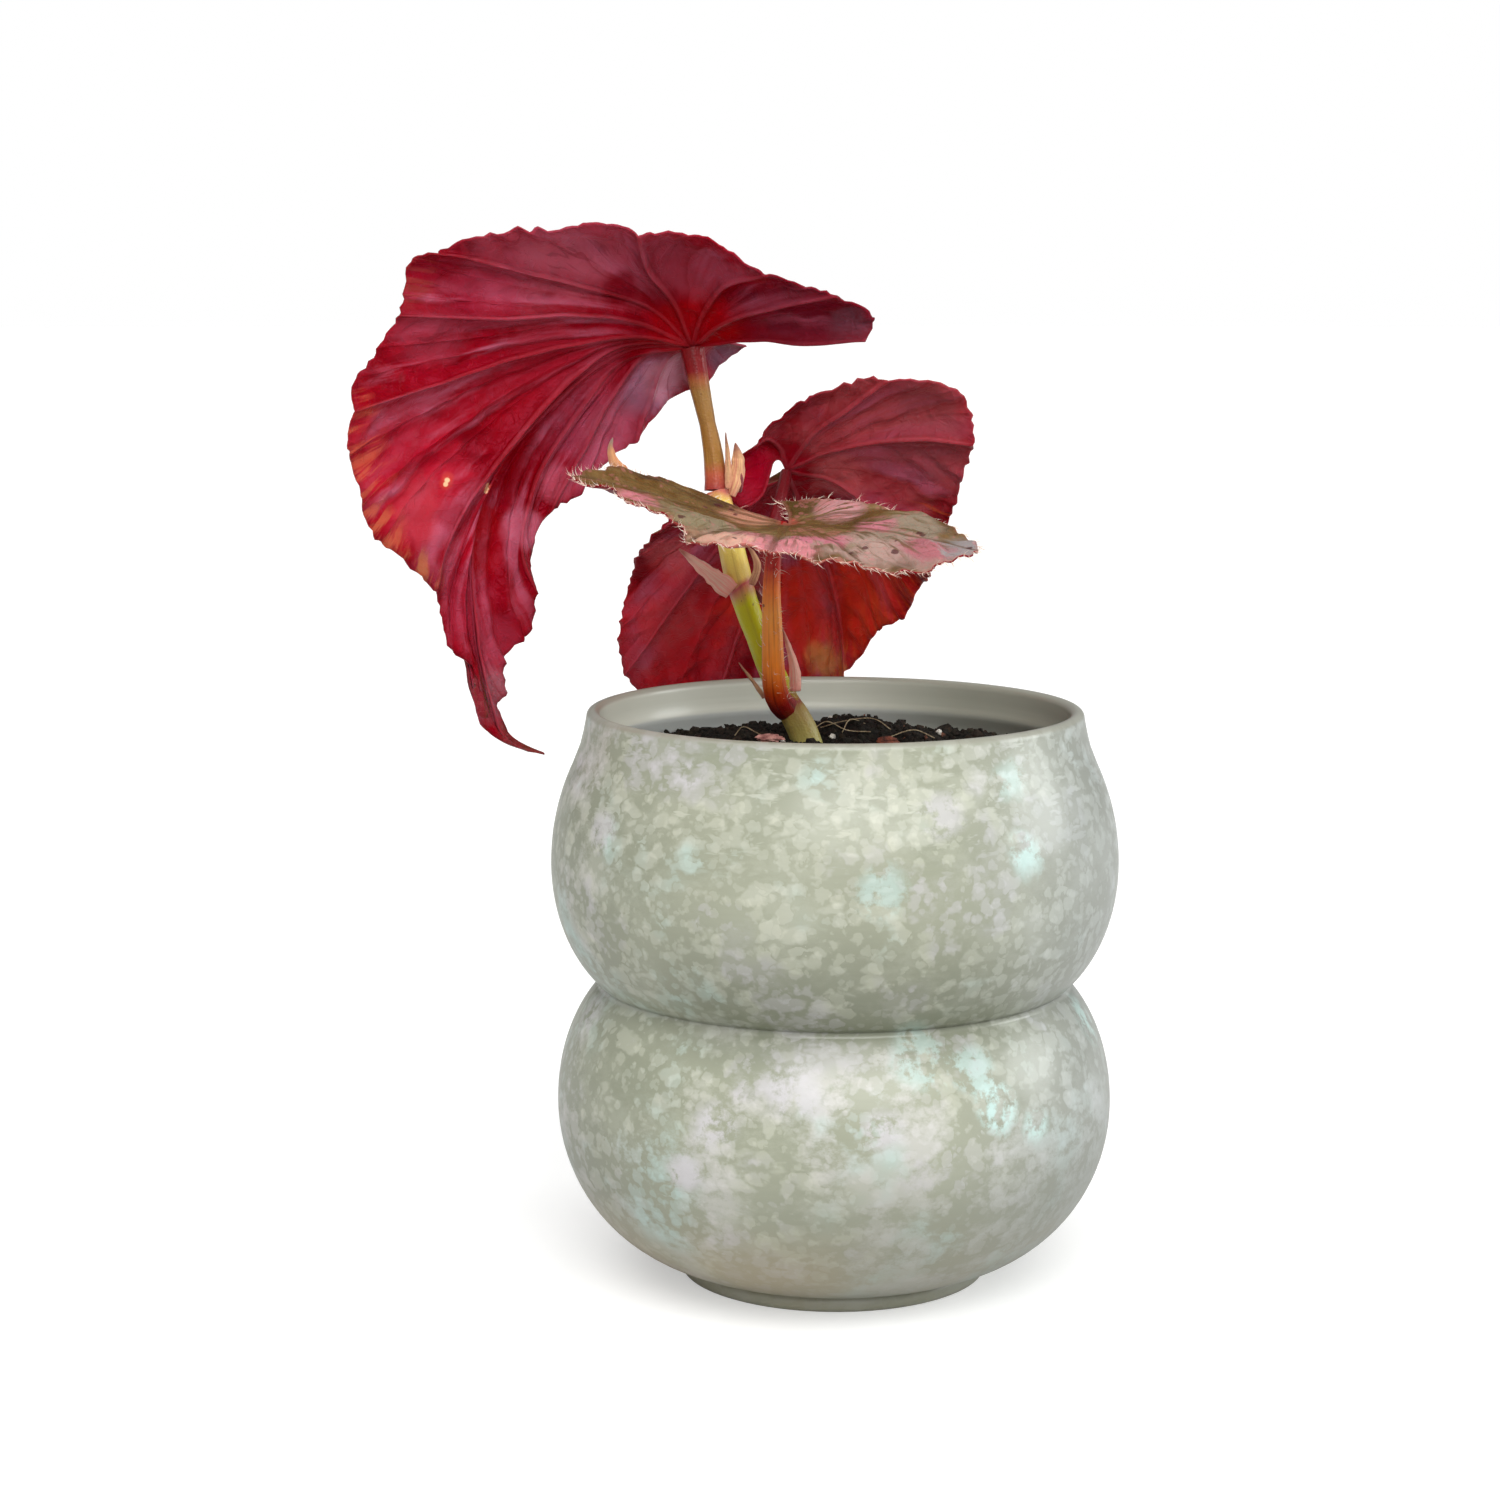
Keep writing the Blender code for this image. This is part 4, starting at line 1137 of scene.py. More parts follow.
def underside_material(name, patches, glow_patches=(), overlay=(), vein_amount=0.15, crinkles=0.0):
    """The red, glossy back of a blade, with painted shade beside its veins and in its folds, a
    painted sheen on one flank of each fold and a painted glow near the margin.
    """
    material, make, shader = new_material(
        name, Metallic=0.0, IOR=1.42, Specular_IOR_Level=0.2,
        Specular_Tint=linear(255, 120, 160),
        Subsurface_Weight=0.5, Subsurface_Radius=(1.0, 0.08, 0.1), Subsurface_Scale=0.0006)
    at = make.place()
    along, edge, lane = (make.attribute(n) for n in ("along", "to_edge", "fan_place"))
    veins = lay_veins(make, at, along, 0.5, 6.0)
    height = make.put("ShaderNodeSeparateXYZ", {0: at}, output="Z")
    height = make.times(height, 1000.0)
    cloud = make.noise(at, 60.0, 3.0, 0.6)
    sway = make.noise(at, 45.0, 3.0, 0.6)
    turn = make.times(lane, 0.62)
    turn = make.math("MULTIPLY_ADD", make.centred(sway), 1.3, turn)
    turn = make.math("FRACT", turn)
    sheen, rise, streaks = silver_sheen(make, along, lane, edge, cloud, turn)
    crinkle = fine_crinkles(make, at, along, lane, sway, height)

    colour = make.ramp(cloud, (0.32, (112, 0, 10)), (0.5, (134, 1, 16)), (0.68, (154, 8, 30)))
    colour = paint_patches(make, at, colour, patches)
    # Painted sheen on one flank of each fold.
    colour = make.tinge(colour, sheen, (184, 90, 114))
    colour = paint_patches(make, at, colour, overlay)
    # Painted shade beside the veins and on the low side of each fold.
    shade = make.step(make.attribute("from_vein"), 2.6, 0.6, 0.0, 0.4)
    shade = make.math("MAXIMUM", shade, make.times(make.step(turn, 0.12, 0.0), 0.4))
    colour = make.tinge(colour, shade, (118, 0, 10))
    lines = make.step(veins["Lines"], 0.5, 1.0, 0.0, vein_amount)
    colour = make.tinge(colour, lines, (190, 78, 90))
    # Painted shade in the fine crinkles.
    colour = make.tinge(colour, crinkle, (74, 4, 16), crinkles)
    colour = make.tinge(colour, make.step(edge, 1.6, 0.1), (120, 20, 30), 0.35)
    # Painted glow of light through the blade, in streaks towards the margin.
    flame = drawn_out(make, (along, lane), (0.08, 5.0), 3.0, 0.6)
    flame = make.times(make.step(flame, 0.44, 0.58), make.step(edge, 12.0, 4.0, 0.3, 1.0))
    colour = make.mix(flame, colour, paint_patches(make, at, colour, glow_patches))
    make.feed(shader.inputs["Base Color"], colour)
    make.feed(shader.inputs["Roughness"], make.step(streaks, 0.3, 0.7, 0.27, 0.42))

    skin = make.group(SKIN, {"Vector": at, "Cells": 2300.0, "Lumps": 420.0, "Lumpiness": 0.6})
    puffs = make.group(QUILTING, {"Vector": at, "Scale": 130.0, "Unevenness": 0.6})
    relief = make.math("MULTIPLY_ADD", puffs, 0.36, make.times(rise, 0.35))
    relief = make.math("MULTIPLY_ADD", crinkle, -0.3 * crinkles, relief)
    relief = make.bump(relief, 0.0011, 0.8)
    relief = make.bump(veins["Relief"], 0.0003, 0.8, normal=relief)
    make.feed(shader.inputs["Normal"], make.bump(skin, 0.00014, 0.6, normal=relief))
    return material


def upper_material():
    """The upper side of a blade: olive brown along the veins, with pink and silvery patches."""
    material, make, shader = new_material(
        "blade_upper", Metallic=0.0, IOR=1.42, Specular_IOR_Level=0.3,
        Subsurface_Weight=0.3, Subsurface_Radius=(1.0, 0.3, 0.3), Subsurface_Scale=0.0004)
    at = make.place()
    along, edge, lane = (make.attribute(n) for n in ("along", "to_edge", "fan_place"))
    veins = lay_veins(make, at, along, 0.7, 4.2)
    cloud = make.noise(at, 110.0, 4.0, 0.62)
    colour = make.ramp(cloud, (0.3, (72, 48, 16)), (0.48, (96, 68, 28)),
                       (0.62, (118, 90, 50)), (0.74, (142, 118, 84)))
    colour = paint_patches(make, at, colour, UPPER_TINTS)
    flame = make.step(drawn_out(make, (along, lane), (0.1, 3.6), 4.0, 0.65), 0.42, 0.48)
    colour = make.mix(flame, colour, paint_patches(make, at, colour, UPPER_FLAMES))
    spots = make.group(SPECKLES, {"Vector": at, "Scale": 620.0, "Size": 0.28, "Softness": 0.2,
                                  "Wobble": 0.5, "Clumping": 0.5})
    colour = make.tinge(colour, spots, (196, 112, 116), 0.3)
    streaks = drawn_out(make, (along, lane), (0.12, 4.0), 4.0, 0.65)
    olive_lines = make.times(make.step(streaks, 0.5, 0.62), make.step(edge, 2.0, 8.0))
    colour = make.tinge(colour, olive_lines, (88, 68, 28), 0.75)
    lines = make.step(veins["Lines"], 0.4, 1.0, 0.0, 0.55)
    colour = make.tinge(colour, lines, (86, 60, 24))
    pits = make.group(SPECKLES, {"Vector": at, "Scale": 300.0, "Size": 0.1, "Softness": 0.08,
                                 "Wobble": 0.4, "Clumping": 0.3})
    colour = make.tinge(colour, pits, (70, 16, 22), 0.8)
    colour = make.tinge(colour, make.step(edge, 0.9, 0.15), (160, 100, 88), 0.3)
    make.feed(shader.inputs["Base Color"], colour)
    make.feed(shader.inputs["Roughness"], make.step(cloud, 0.3, 0.7, 0.42, 0.6))
    sunk = make.math("SUBTRACT", 1.0, veins["Relief"])
    skin = make.group(SKIN, {"Vector": at, "Cells": 1700.0, "Lumps": 520.0, "Lumpiness": 0.5})
    relief = make.bump(sunk, 0.0004, 0.9)
    make.feed(shader.inputs["Normal"], make.bump(skin, 0.00025, 0.8, normal=relief))
    return material


def stem_material(name, stops, speck, stripe):
    """A juicy stem: colours along its length, stripes along it and dark specks."""
    material, make, shader = new_material(
        name, Metallic=0.0, IOR=1.4, Specular_IOR_Level=0.4, Coat_Weight=0.08,
        Coat_Roughness=0.25, Subsurface_Weight=0.3, Subsurface_Radius=(1.0, 0.6, 0.2),
        Subsurface_Scale=0.001)
    at = make.place()
    along, around = make.attribute("share"), make.attribute("round")
    sway = make.noise(at, 190.0, 2.0)
    shifted = make.math("MULTIPLY_ADD", make.centred(sway), 0.07, along)
    colour = make.ramp(shifted, *stops)
    strips = drawn_out(make, (around, along), (22.0, 1.4), 3.0, 0.6)
    shade = make.ramp(strips, (0.34, (176, 140, 110)), (0.48, (240, 238, 230)),
                      (0.66, (255, 255, 250)))
    colour = make.mix(stripe, colour, shade, mode="MULTIPLY")
    specks = make.group(SPECKLES, {"Vector": at, "Scale": 520.0, "Size": 0.06, "Softness": 0.08,
                                   "Wobble": 0.6, "Clumping": 0.35})
    colour = make.tinge(colour, specks, (70, 14, 12), speck)
    make.feed(shader.inputs["Base Color"], colour)
    make.feed(shader.inputs["Roughness"], make.step(strips, 0.3, 0.7, 0.3, 0.46))
    skin = make.group(SKIN, {"Vector": at, "Cells": 2600.0, "Lumps": 700.0, "Lumpiness": 0.5})
    relief = make.math("MULTIPLY_ADD", strips, 0.8, skin)
    make.feed(shader.inputs["Normal"], make.bump(relief, 0.00018, 0.8))
    return material


def papery_material(name, pale, rosy, brown):
    """A drying scale: thin, streaked along its length, browner at its tip and edges."""
    material, make, shader = new_material(name, Metallic=0.0, Sheen_Weight=0.2)
    at = make.place()
    along, around = make.attribute("share"), make.attribute("round")
    lines = drawn_out(make, (around, along), (14.0, 1.2), 3.0, 0.6)
    colour = make.ramp(lines, (0.35, rosy), (0.6, pale))
    tip = make.step(make.math("MULTIPLY_ADD", make.noise(at, 400.0), 0.4, along), 0.85, 1.2)
    colour = make.tinge(colour, tip, brown, 0.8)
    colour = make.tinge(colour, make.step(along, 0.2, 0.0), rosy, 0.5)
    make.feed(shader.inputs["Base Color"], colour)
    make.feed(shader.inputs["Roughness"], make.step(lines, 0.3, 0.7, 0.48, 0.68))
    skin = make.group(SKIN, {"Vector": at, "Cells": 1800.0, "Lumps": 900.0, "Lumpiness": 0.5})
    relief = make.math("MULTIPLY_ADD", lines, 1.4, skin)
    make.feed(shader.inputs["Normal"], make.bump(relief, 0.0002, 0.9))
    return material


def grain_material(name, light, dark, scale, rough):
    """Loose bits: a mottled colour with small pits."""
    material, make, shader = new_material(name, Metallic=0.0)
    at = make.place()
    mottle = make.noise(at, scale, 4.0, 0.65)
    colour = make.ramp(mottle, (0.35, dark), (0.6, light))
    make.feed(shader.inputs["Base Color"], colour)
    make.feed(shader.inputs["Roughness"], make.step(mottle, 0.3, 0.7, rough, rough - 0.15))
    pits = make.math("MULTIPLY_ADD", make.cells(at, scale * 2.0), 0.6, mottle)
    make.feed(shader.inputs["Normal"], make.bump(pits, 0.0003, 0.9))
    return material


def hair_material():
    """Pale, slightly rosy hairs."""
    material, make, shader = new_material("leaf_hair", Metallic=0.0, Roughness=0.5)
    tint = make.noise(make.place(), 700.0, 1.0)
    make.feed(shader.inputs["Base Color"],
              make.ramp(tint, (0.4, (232, 196, 178)), (0.6, (246, 234, 216))))
    return material


# ---------------------------------------------------------------- camera, light and floor


def set_camera():
    """The camera in front of the pot, tipped down a little, and plain colours for its view."""
    camera = bpy.data.objects.new("camera", bpy.data.cameras.new("camera"))
    camera.data.lens = CAMERA_LENS
    camera.data.sensor_width = CAMERA_SENSOR
    camera.data.clip_start = 0.01
    camera.location = Vector(CAMERA_PLACE) * MM
    camera.rotation_euler = (math.pi / 2 - CAMERA_PITCH, 0, 0)
    bpy.context.scene.collection.objects.link(camera)
    bpy.context.scene.camera = camera
    bpy.context.scene.view_settings.view_transform = "Standard"


def lay_floor():
    """A wide, pale floor that stays bright to the eye."""
    material, make, shader = new_material("pale_floor", Roughness=0.9, Specular_IOR_Level=0.2)
    grain = make.noise(make.place(), 300.0, 2.0)
    make.feed(shader.inputs["Base Color"],
              make.ramp(grain, (0.3, (214, 214, 213)), (0.7, (218, 218, 217))))
    seen = make.put("ShaderNodeLightPath", {}, output="Is Camera Ray")
    make.feed(shader.inputs["Emission Color"], (1, 1, 1, 1))
    make.feed(shader.inputs["Emission Strength"], make.times(seen, FLOOR_LIFT))
    steps = 96
    angles = np.linspace(0, math.tau, steps, endpoint=False)
    rim = [(FLOOR_REACH * math.cos(a), FLOOR_REACH * math.sin(a), 0) for a in angles]
    mesh = bpy.data.meshes.new("floor")
    mesh.from_pydata(rim, [], [range(steps)])
    mesh.materials.append(material)
    link_object("floor", mesh)


def light_the_sky():
    """Soft light from all round, brighter overhead, behind a white backdrop."""
    world = bpy.data.worlds.new("studio")
    bpy.context.scene.world = world
    world.use_nodes = True
    make = Recipe(world.node_tree)
    background = world.node_tree.nodes["Background"]
    way = make.put("ShaderNodeTexCoord", {}, output="Generated")
    up = make.put("ShaderNodeSeparateXYZ", {0: way}, output="Z")
    soft_light = make.step(up, -0.1, 0.9, *SKY_LIGHT)
    seen = make.put("ShaderNodeLightPath", {}, output="Is Camera Ray")
    make.feed(background.inputs["Color"], (1, 1, 1, 1))
    make.feed(background.inputs["Strength"], make.math("MAXIMUM", seen, soft_light))


def hang_lamps():
    """The disc lamps, which give mostly shine, and one soft sun."""
    for name, place, size, power, colour in LAMPS:
        lamp = bpy.data.lights.new(name, "AREA")
        lamp.shape = "DISK"
        lamp.size = size * MM
        lamp.energy = power
        lamp.color = colour
        lamp.diffuse_factor = LAMP_DIFFUSE
        item = bpy.data.objects.new(name, lamp)
        item.location = Vector(place) * MM
        aim = Vector((0, 0, LAMP_AIM_HEIGHT * MM)) - item.location
        item.rotation_euler = aim.to_track_quat("-Z", "Y").to_euler()
        bpy.context.scene.collection.objects.link(item)
    sun = bpy.data.lights.new("sun", "SUN")
    sun.energy = SUN_POWER
    sun.angle = math.radians(SUN_SPREAD)
    item = bpy.data.objects.new("sun", sun)
    item.rotation_euler = Vector(SUN_WAY).to_track_quat("-Z", "Y").to_euler()
    bpy.context.scene.collection.objects.link(item)


# ---------------------------------------------------------------- pot


def arc(centre, across, up, start, end, steps):
    """Points on an ellipse about centre (r, z), from start to end degrees."""
    turns = [math.radians(start + (end - start) * i / steps) for i in range(steps + 1)]
    return [(centre[0] + across * math.cos(t), centre[1] + up * math.sin(t)) for t in turns]


def pot_outline():
    """From the middle of the floor inside, over the lip, to the middle of the foot."""
    inside = [
        (0, FLOOR_HEIGHT),
        (13, FLOOR_HEIGHT),
        *arc((24, LOWER_BULB_HEIGHT), 24.6, LOWER_BULB_HEIGHT - FLOOR_HEIGHT, -90, 0, 8),
        *arc((34.1, LOWER_BULB_HEIGHT), 14.5, 25.5, 22, 62, 4),
        (40.2, WAIST_HEIGHT),
        *arc((34, UPPER_BULB_HEIGHT), 15.5, 25.5, -62, 0, 8),
        *arc((9.5, UPPER_BULB_HEIGHT), 40, 40, 8, 25.2, 6),
        (44.9, 98.6),
        (44.8, 99.8),
        (44.5, 101.0),
        (44.1, 102.0),
        (43.9, 102.7),
        (43.9, 103.2),
        (44.1, 103.9),
        (44.3, 104.6),
        (44.42, 106.3),
    ]
    lip = arc((LIP_RADIUS, LIP_HEIGHT), LIP_ROUND, LIP_ROUND, 180, 0, 12)
    outside = [
        (47.25, 107.2),
        (47.45, 106.2),
        (47.65, 105.2),
        (47.95, 104.0),
        (48.3, 102.6),
        *arc((9.5, UPPER_BULB_HEIGHT), 44.5, 44.5, 25.3, 0, 14),
        *arc((34, UPPER_BULB_HEIGHT), 20, 27.2, -4, -57.7, 16),
        *arc((34.1, LOWER_BULB_HEIGHT), 19, 27.5, 56.8, 0, 16),
        *arc((24, LOWER_BULB_HEIGHT), 29.1, LOWER_BULB_HEIGHT - 2.5, -4, -76, 20),
        (FOOT_RADIUS - 0.7, FOOT_HEIGHT),
        (FOOT_RADIUS - 0.25, FOOT_HEIGHT - 0.35),
        (FOOT_RADIUS, FOOT_HEIGHT - 0.9),
        (FOOT_RADIUS, 1.3),
        (FOOT_RADIUS - 0.1, 0.7),
        (FOOT_RADIUS - 0.35, 0.2),
        (FOOT_RADIUS - 0.8, 0),
        (FOOT_RADIUS - 4, 0),
        (10, 0),
        (0, 0),
    ]
    return [*inside, *lip, *outside]


def make_pot():
    """The glazed pot, turned from its outline."""
    outline = line_mesh("pot_outline", [(r, 0, z) for r, z in pot_outline()])
    item = grow("glazed_pot", outline, turning_tree(), Steps=POT_STEPS, Unevenness=0.00012,
                Material=glaze_material())
    place_piece(item, "pot")


# ---------------------------------------------------------------- soil


def soil_height(x, y):
    """Height of the plain mound of soil, highest in the middle."""
    out = np.hypot(x, y) / LIP_RADIUS
    at = np.stack([x, y, np.full_like(x, 3.0)], -1)
    broad = ripple(at, 0.14)
    fine = ripple(at + (0, 0, 5), 0.3)
    return SOIL_TOP - SOIL_EDGE_DROP * out * out + SOIL_LUMP * (broad + 0.5 * fine)


def clods(x, y):
    """Loose, clumped relief on top of the mound."""
    at = np.stack([x, y, np.zeros_like(x)], -1)
    coarse = 1 - np.abs(ripple(at, 0.21, 11)) * 2.2
    small = 1 - np.abs(ripple(at, 0.52, 17)) * 2.0
    grit = ripple(at, 1.3, 23)
    heaps = sum(rise * np.exp(-((x - at_x) ** 2 + (y - at_y) ** 2) / spread)
                for (at_x, at_y), rise, spread in SOIL_HEAPS)
    return 0.9 * coarse + 0.6 * small + 0.3 * grit + heaps - 0.6


def soil_wall():
    """The pot's inner wall with a small gap, from the top of the soil down to the floor."""
    inner_points = 24  # after these the outline goes on to the lip and the outside
    wall = [(r - 0.5, h) for r, h in pot_outline() if h < 97 and r < 49][:inner_points]
    return [(r, h + SOIL_FLOOR_GAP) for r, h in wall if r > 12][::-1]


def make_soil():
    """The mound of soil, and the crumbs strewn over it inside its rim."""
    rings, steps = 64, 200
    radii = SOIL_RADIUS * (np.arange(1, rings + 1) / rings) ** 0.85
    angles = np.linspace(0, math.tau, steps, endpoint=False)
    x = np.outer(radii, np.cos(angles))
    y = np.outer(radii, np.sin(angles))
    rim = fade(np.broadcast_to(radii[:, None], x.shape), SOIL_RADIUS, SOIL_RADIUS - 2.5)
    z = soil_height(x, y) + clods(x, y) * (0.35 + 0.65 * rim)
    x[-1] *= 1.004
    y[-1] *= 1.004
    top = np.stack([x, y, z], -1).reshape(-1, 3)
    centre = np.array([[0, 0, float(z[0].mean())]])
    wall = soil_wall()
    side = [(r * math.cos(a), r * math.sin(a), h) for r, h in wall for a in angles]
    bottom = [(0, 0, FLOOR_HEIGHT + SOIL_FLOOR_GAP)]
    places = np.concatenate([centre, top, np.array(side), np.array(bottom)])
    faces = [(0, 1 + i, 1 + (i + 1) % steps) for i in range(steps)]
    for ring in range(rings + len(wall) - 1):
        low, high = 1 + ring * steps, 1 + (ring + 1) * steps
        faces += [(low + i, high + i, high + (i + 1) % steps, low + (i + 1) % steps)
                  for i in range(steps)]
    low = 1 + (rings + len(wall) - 1) * steps
    faces += [(low + i, len(places) - 1, low + (i + 1) % steps) for i in range(steps)]
    mesh = bpy.data.meshes.new("soil_mound")
    mesh.from_pydata((places * MM).tolist(), [], faces)
    mesh.shade_smooth()
    dark = soil_material("black_soil", (9, 8, 5), (38, 32, 25), 900.0)
    mesh.materials.append(dark)
    place_piece(link_object("soil_mound", mesh), "potting_soil")
    ground = bpy.data.meshes.new("ground")
    within_rim = faces[: steps * (rings - 1)]
    ground.from_pydata((places[: 1 + rings * steps] * MM).tolist(), [], within_rim)
    strew_crumbs(ground, dark)


def strew_crumbs(ground, dark):
    """Crumbs, clods, bark chips and perlite specks, each kind grown over the ground."""
    # (piece, slot, number per square metre, smallest, largest, flatness, roughness, seed, material)
    kinds = [
        ("soil_crumbs", "soil", 4.4e5, 0.25, 1.0, 0.75, 1.2, 3, dark),
        ("soil_clods", "soil", 4e4, 0.7, 1.9, 0.8, 1.3, 5,
         soil_material("peat_clods", (14, 11, 8), (52, 42, 32), 700.0)),
        ("bark_chips", "bark", 9e3, 0.6, 1.7, 0.35, 0.5, 8,
         grain_material("brown_bark", (112, 66, 44), (48, 24, 16), 500.0, 0.9)),
        ("perlite_specks", "perlite", 4.5e3, 0.25, 0.9, 0.9, 0.5, 13,
         grain_material("white_perlite", (226, 222, 212), (168, 162, 150), 900.0, 0.9)),
    ]
    tree = crumb_tree()
    for name, slot_name, many, small, large, flat, rough, seed, material in kinds:
        item = grow(name, ground.copy(), tree, **{
            "Crumbs per Square Metre": many, "Smallest": small * MM, "Largest": large * MM,
            "Flatness": flat, "Roughness": rough, "Seed": seed, "Material": material})
        place_piece(item, "potting_soil")


def lump_piece(name, middle, size, crumple, seed, material):
    """A crumpled bit that lies on the soil."""
    shape = bmesh.new()
    bmesh.ops.create_icosphere(shape, subdivisions=4, radius=0.5)
    for vertex in shape.verts:
        way = vertex.co.normalized()
        dents = noise.noise(way * 2.1 + Vector((seed, 0, 0)))
        dents += 0.5 * noise.noise(way * 5.3 + Vector((0, seed, 0)))
        point = vertex.co * (1 + crumple * 0.4 * dents)
        vertex.co = [(m + p * s) * MM for m, p, s in zip(middle, point, size)]
    mesh = bpy.data.meshes.new(name)
    shape.to_mesh(mesh)
    shape.free()
    mesh.materials.append(material)
    mesh.shade_smooth()
    return link_object(name, mesh)


def drop_loose_bits():
    """The three larger bits that lie on the soil."""
    loose = [
        ("dry_leaf_scrap", "dry_scrap", (-12.4, -5.2, 104.3), (5.0, 2.8, 1.5), 0.9, 31,
         grain_material("dry_leaf_bit", (204, 148, 136), (140, 84, 78), 700.0, 0.85)),
        ("perlite_grain", "perlite", (-19.0, -4.4, 102.9), (2.5, 2.3, 1.7), 0.4, 33,
         grain_material("perlite_grain", (232, 228, 220), (186, 180, 168), 1200.0, 0.9)),
        ("bark_bit", "bark", (9.9, -2.1, 103.2), (4.2, 2.9, 1.9), 0.7, 37,
         grain_material("bark_bit", (124, 62, 40), (58, 26, 18), 900.0, 0.9)),
    ]
    for node, slot_name, middle, size, crumple, seed, material in loose:
        item = lump_piece(node + "_lump", middle, size, crumple, seed, material)
        place_piece(item, node)


# ---------------------------------------------------------------- stems


def stem_line(name, route, steps):
    """A route of (point, radius) as an even line mesh, with its places and radii."""
    places = even_places([point for point, radius in route], steps)
    radii = even_places([(radius, 0, 0) for point, radius in route], steps)[:, 0]
    share = np.linspace(0, 1, steps + 1)
    return line_mesh(name, places, thickness=radii * MM, share=share), places, radii


def make_stem(name, route, node, slot_name, material, tree, steps=90, **values):
    """Grows one stem and gives the places and radii along it."""
    line, places, radii = stem_line(name, route, steps)
    item = grow(name, line, tree, Material=material, **values)
    place_piece(item, node)
    return places, radii


def make_fibres(tree):
    """Thin pale roots that lie on the soil."""
    skin = grain_material("root_fibre", (168, 150, 118), (112, 92, 66), 900.0, 0.7)
    for number, points in enumerate(FIBRES):
        route = [(point, FIBRE_RADIUS) for point in points]
        make_stem(f"root_fibre_{number + 1}", route, "potting_soil", "soil", skin, tree, steps=40,
                  **{"Ridge Height": 0.0, "Unevenness": 0.00004, "Sides": 6})


def make_stems():
    """The cane, the root fibres and the petioles; gives the front petiole's places and radii."""
    tree = stem_tree()
    cane_skin = stem_material("green_cane_skin", CANE_COLOURS, 0.5, 0.3)
    make_stem("cane_stem", CANE, "cane", "cane_skin", cane_skin, tree, steps=140)
    make_fibres(tree)
    petioles = [
        ("top", "leaf_red", TOP_PETIOLE, TOP_PETIOLE_COLOURS, 0.25, 0.5),
        ("back", "leaf_red", BACK_PETIOLE, BACK_PETIOLE_COLOURS, 0.3, 0.5),
        ("front", "leaf_pink", FRONT_PETIOLE, FRONT_PETIOLE_COLOURS, 0.8, 0.9),
    ]
    for name, slot_name, route, colours, speck, stripe in petioles:
        skin = stem_material(name + "_petiole_skin", colours, speck, stripe)
        stalk = make_stem(name + "_petiole", route, name + "_leaf", slot_name, skin, tree)
    return stalk


# ---------------------------------------------------------------- leaves


# Over a blade: along its lanes, from the margin, from main and branch veins, the room between two
# entries of the fan and the share of it, and the span between two main veins and the part of it
Measures = namedtuple("Measures", "along to_edge from_vein from_branch room share span part")


def lane_ribs(attachment, fan, rows):
    """A line of places from the petiole to the margin for each entry of the fan."""
    reach = np.linspace(0, 1, rows + 1)
    mains = [i for i, entry in enumerate(fan) if isinstance(entry, list)]
    ribs = {i: even_places([attachment, *fan[i]], rows) for i in mains}
    for i, entry in enumerate(fan):
        if isinstance(entry, Beside):
            vein = ribs[min(mains, key=lambda main: abs(main - i))]
            slowed = reach - (1 - entry.stop) * (np.maximum(reach - 0.4, 0) / 0.6) ** 2
            rib = np.stack([np.interp(slowed, reach, vein[:, axis]) for axis in range(3)], 1)
            aside = (0.3 * reach + 0.7 * reach**4)[:, None]
            ribs[i] = rib + (np.array(entry.end) - rib[-1]) * aside
    fixed = sorted(ribs)
    for left, right in zip(fixed, fixed[1:]):
        for i in range(left + 1, right):
            share = (i - left) / (right - left)
            between = ribs[left] * (1 - share) + ribs[right] * share
            ribs[i] = between + (np.array(fan[i]) - between[-1]) * reach[:, None] ** 2
    return [ribs[i] for i in range(len(fan))], mains


def blade_grid(attachment, fan, rows):
    """Places on the smooth blade: one column for each lane, closer together beside the veins."""
    ribs, mains = lane_ribs(attachment, fan, rows)
    lanes, entries = [], []
    for i in range(len(fan) - 1):
        width = np.linalg.norm(ribs[i + 1] - ribs[i], axis=1).max()
        share = np.arange(max(5, round(width / LANE_SPACING)))
        share = share / len(share)
        entries.append(len(lanes))
        lanes += list(i + share - 0.09 * np.sin(math.tau * share))
    entries.append(len(lanes))
    lanes = np.array([*lanes, len(fan) - 1])
    return smooth_line(ribs, lanes), lanes, mains, entries


def facing(grid, hint, reach=2):
    """Unit normals of the grid on the side of the hint, averaged over reach lanes each way."""
    across = np.gradient(grid, axis=0)
    out = np.gradient(grid, axis=1)
    normals = np.cross(across, out)
    padded = np.concatenate([normals[:1]] * reach + [normals] + [normals[-1:]] * reach)
    count = len(normals)
    normals = unit(sum(padded[step : step + count] for step in range(2 * reach + 1)))
    if (normals[:, 5:] @ np.array(hint, float)).sum() < 0:
        normals = -normals
    normals[:, 0] = unit(normals[:, 3].mean(0))
    return normals


def sideways_length(grid):
    """Running length across the lanes, leaving out any step along them."""
    out = unit(np.gradient(grid, axis=1))
    steps = np.diff(grid, axis=0)
    middle = unit(out[1:] + out[:-1])
    steps = steps - middle * (steps * middle).sum(-1, keepdims=True)
    lengths = np.linalg.norm(steps, axis=-1)
    return np.concatenate([np.zeros_like(lengths[:1]), np.cumsum(lengths, 0)])


def along_line(length):
    """Places on a straight line, so that noise can be read along a margin."""
    return np.stack([length, np.zeros_like(length), np.zeros_like(length)], -1)


def teeth(length, seed):
    """How far the margin stands out at each place along it, in millimetres."""
    at = along_line(length)
    shift = length + 2.2 * ripple(at, 0.16, seed)
    saw = (shift / TOOTH_SPACING) % 1
    size = np.clip(0.65 + 0.9 * ripple(at, 0.23, seed + 7), 0.05, 1.5)
    points = TOOTH_HEIGHT * size * (1 - np.minimum(saw / 0.72, (1 - saw) / 0.28) * 1.6)
    bays = BAY_DEPTH * (ripple(at, 0.085, seed + 3) + 0.6 * ripple(at, 0.21, seed + 5))
    return -points + bays


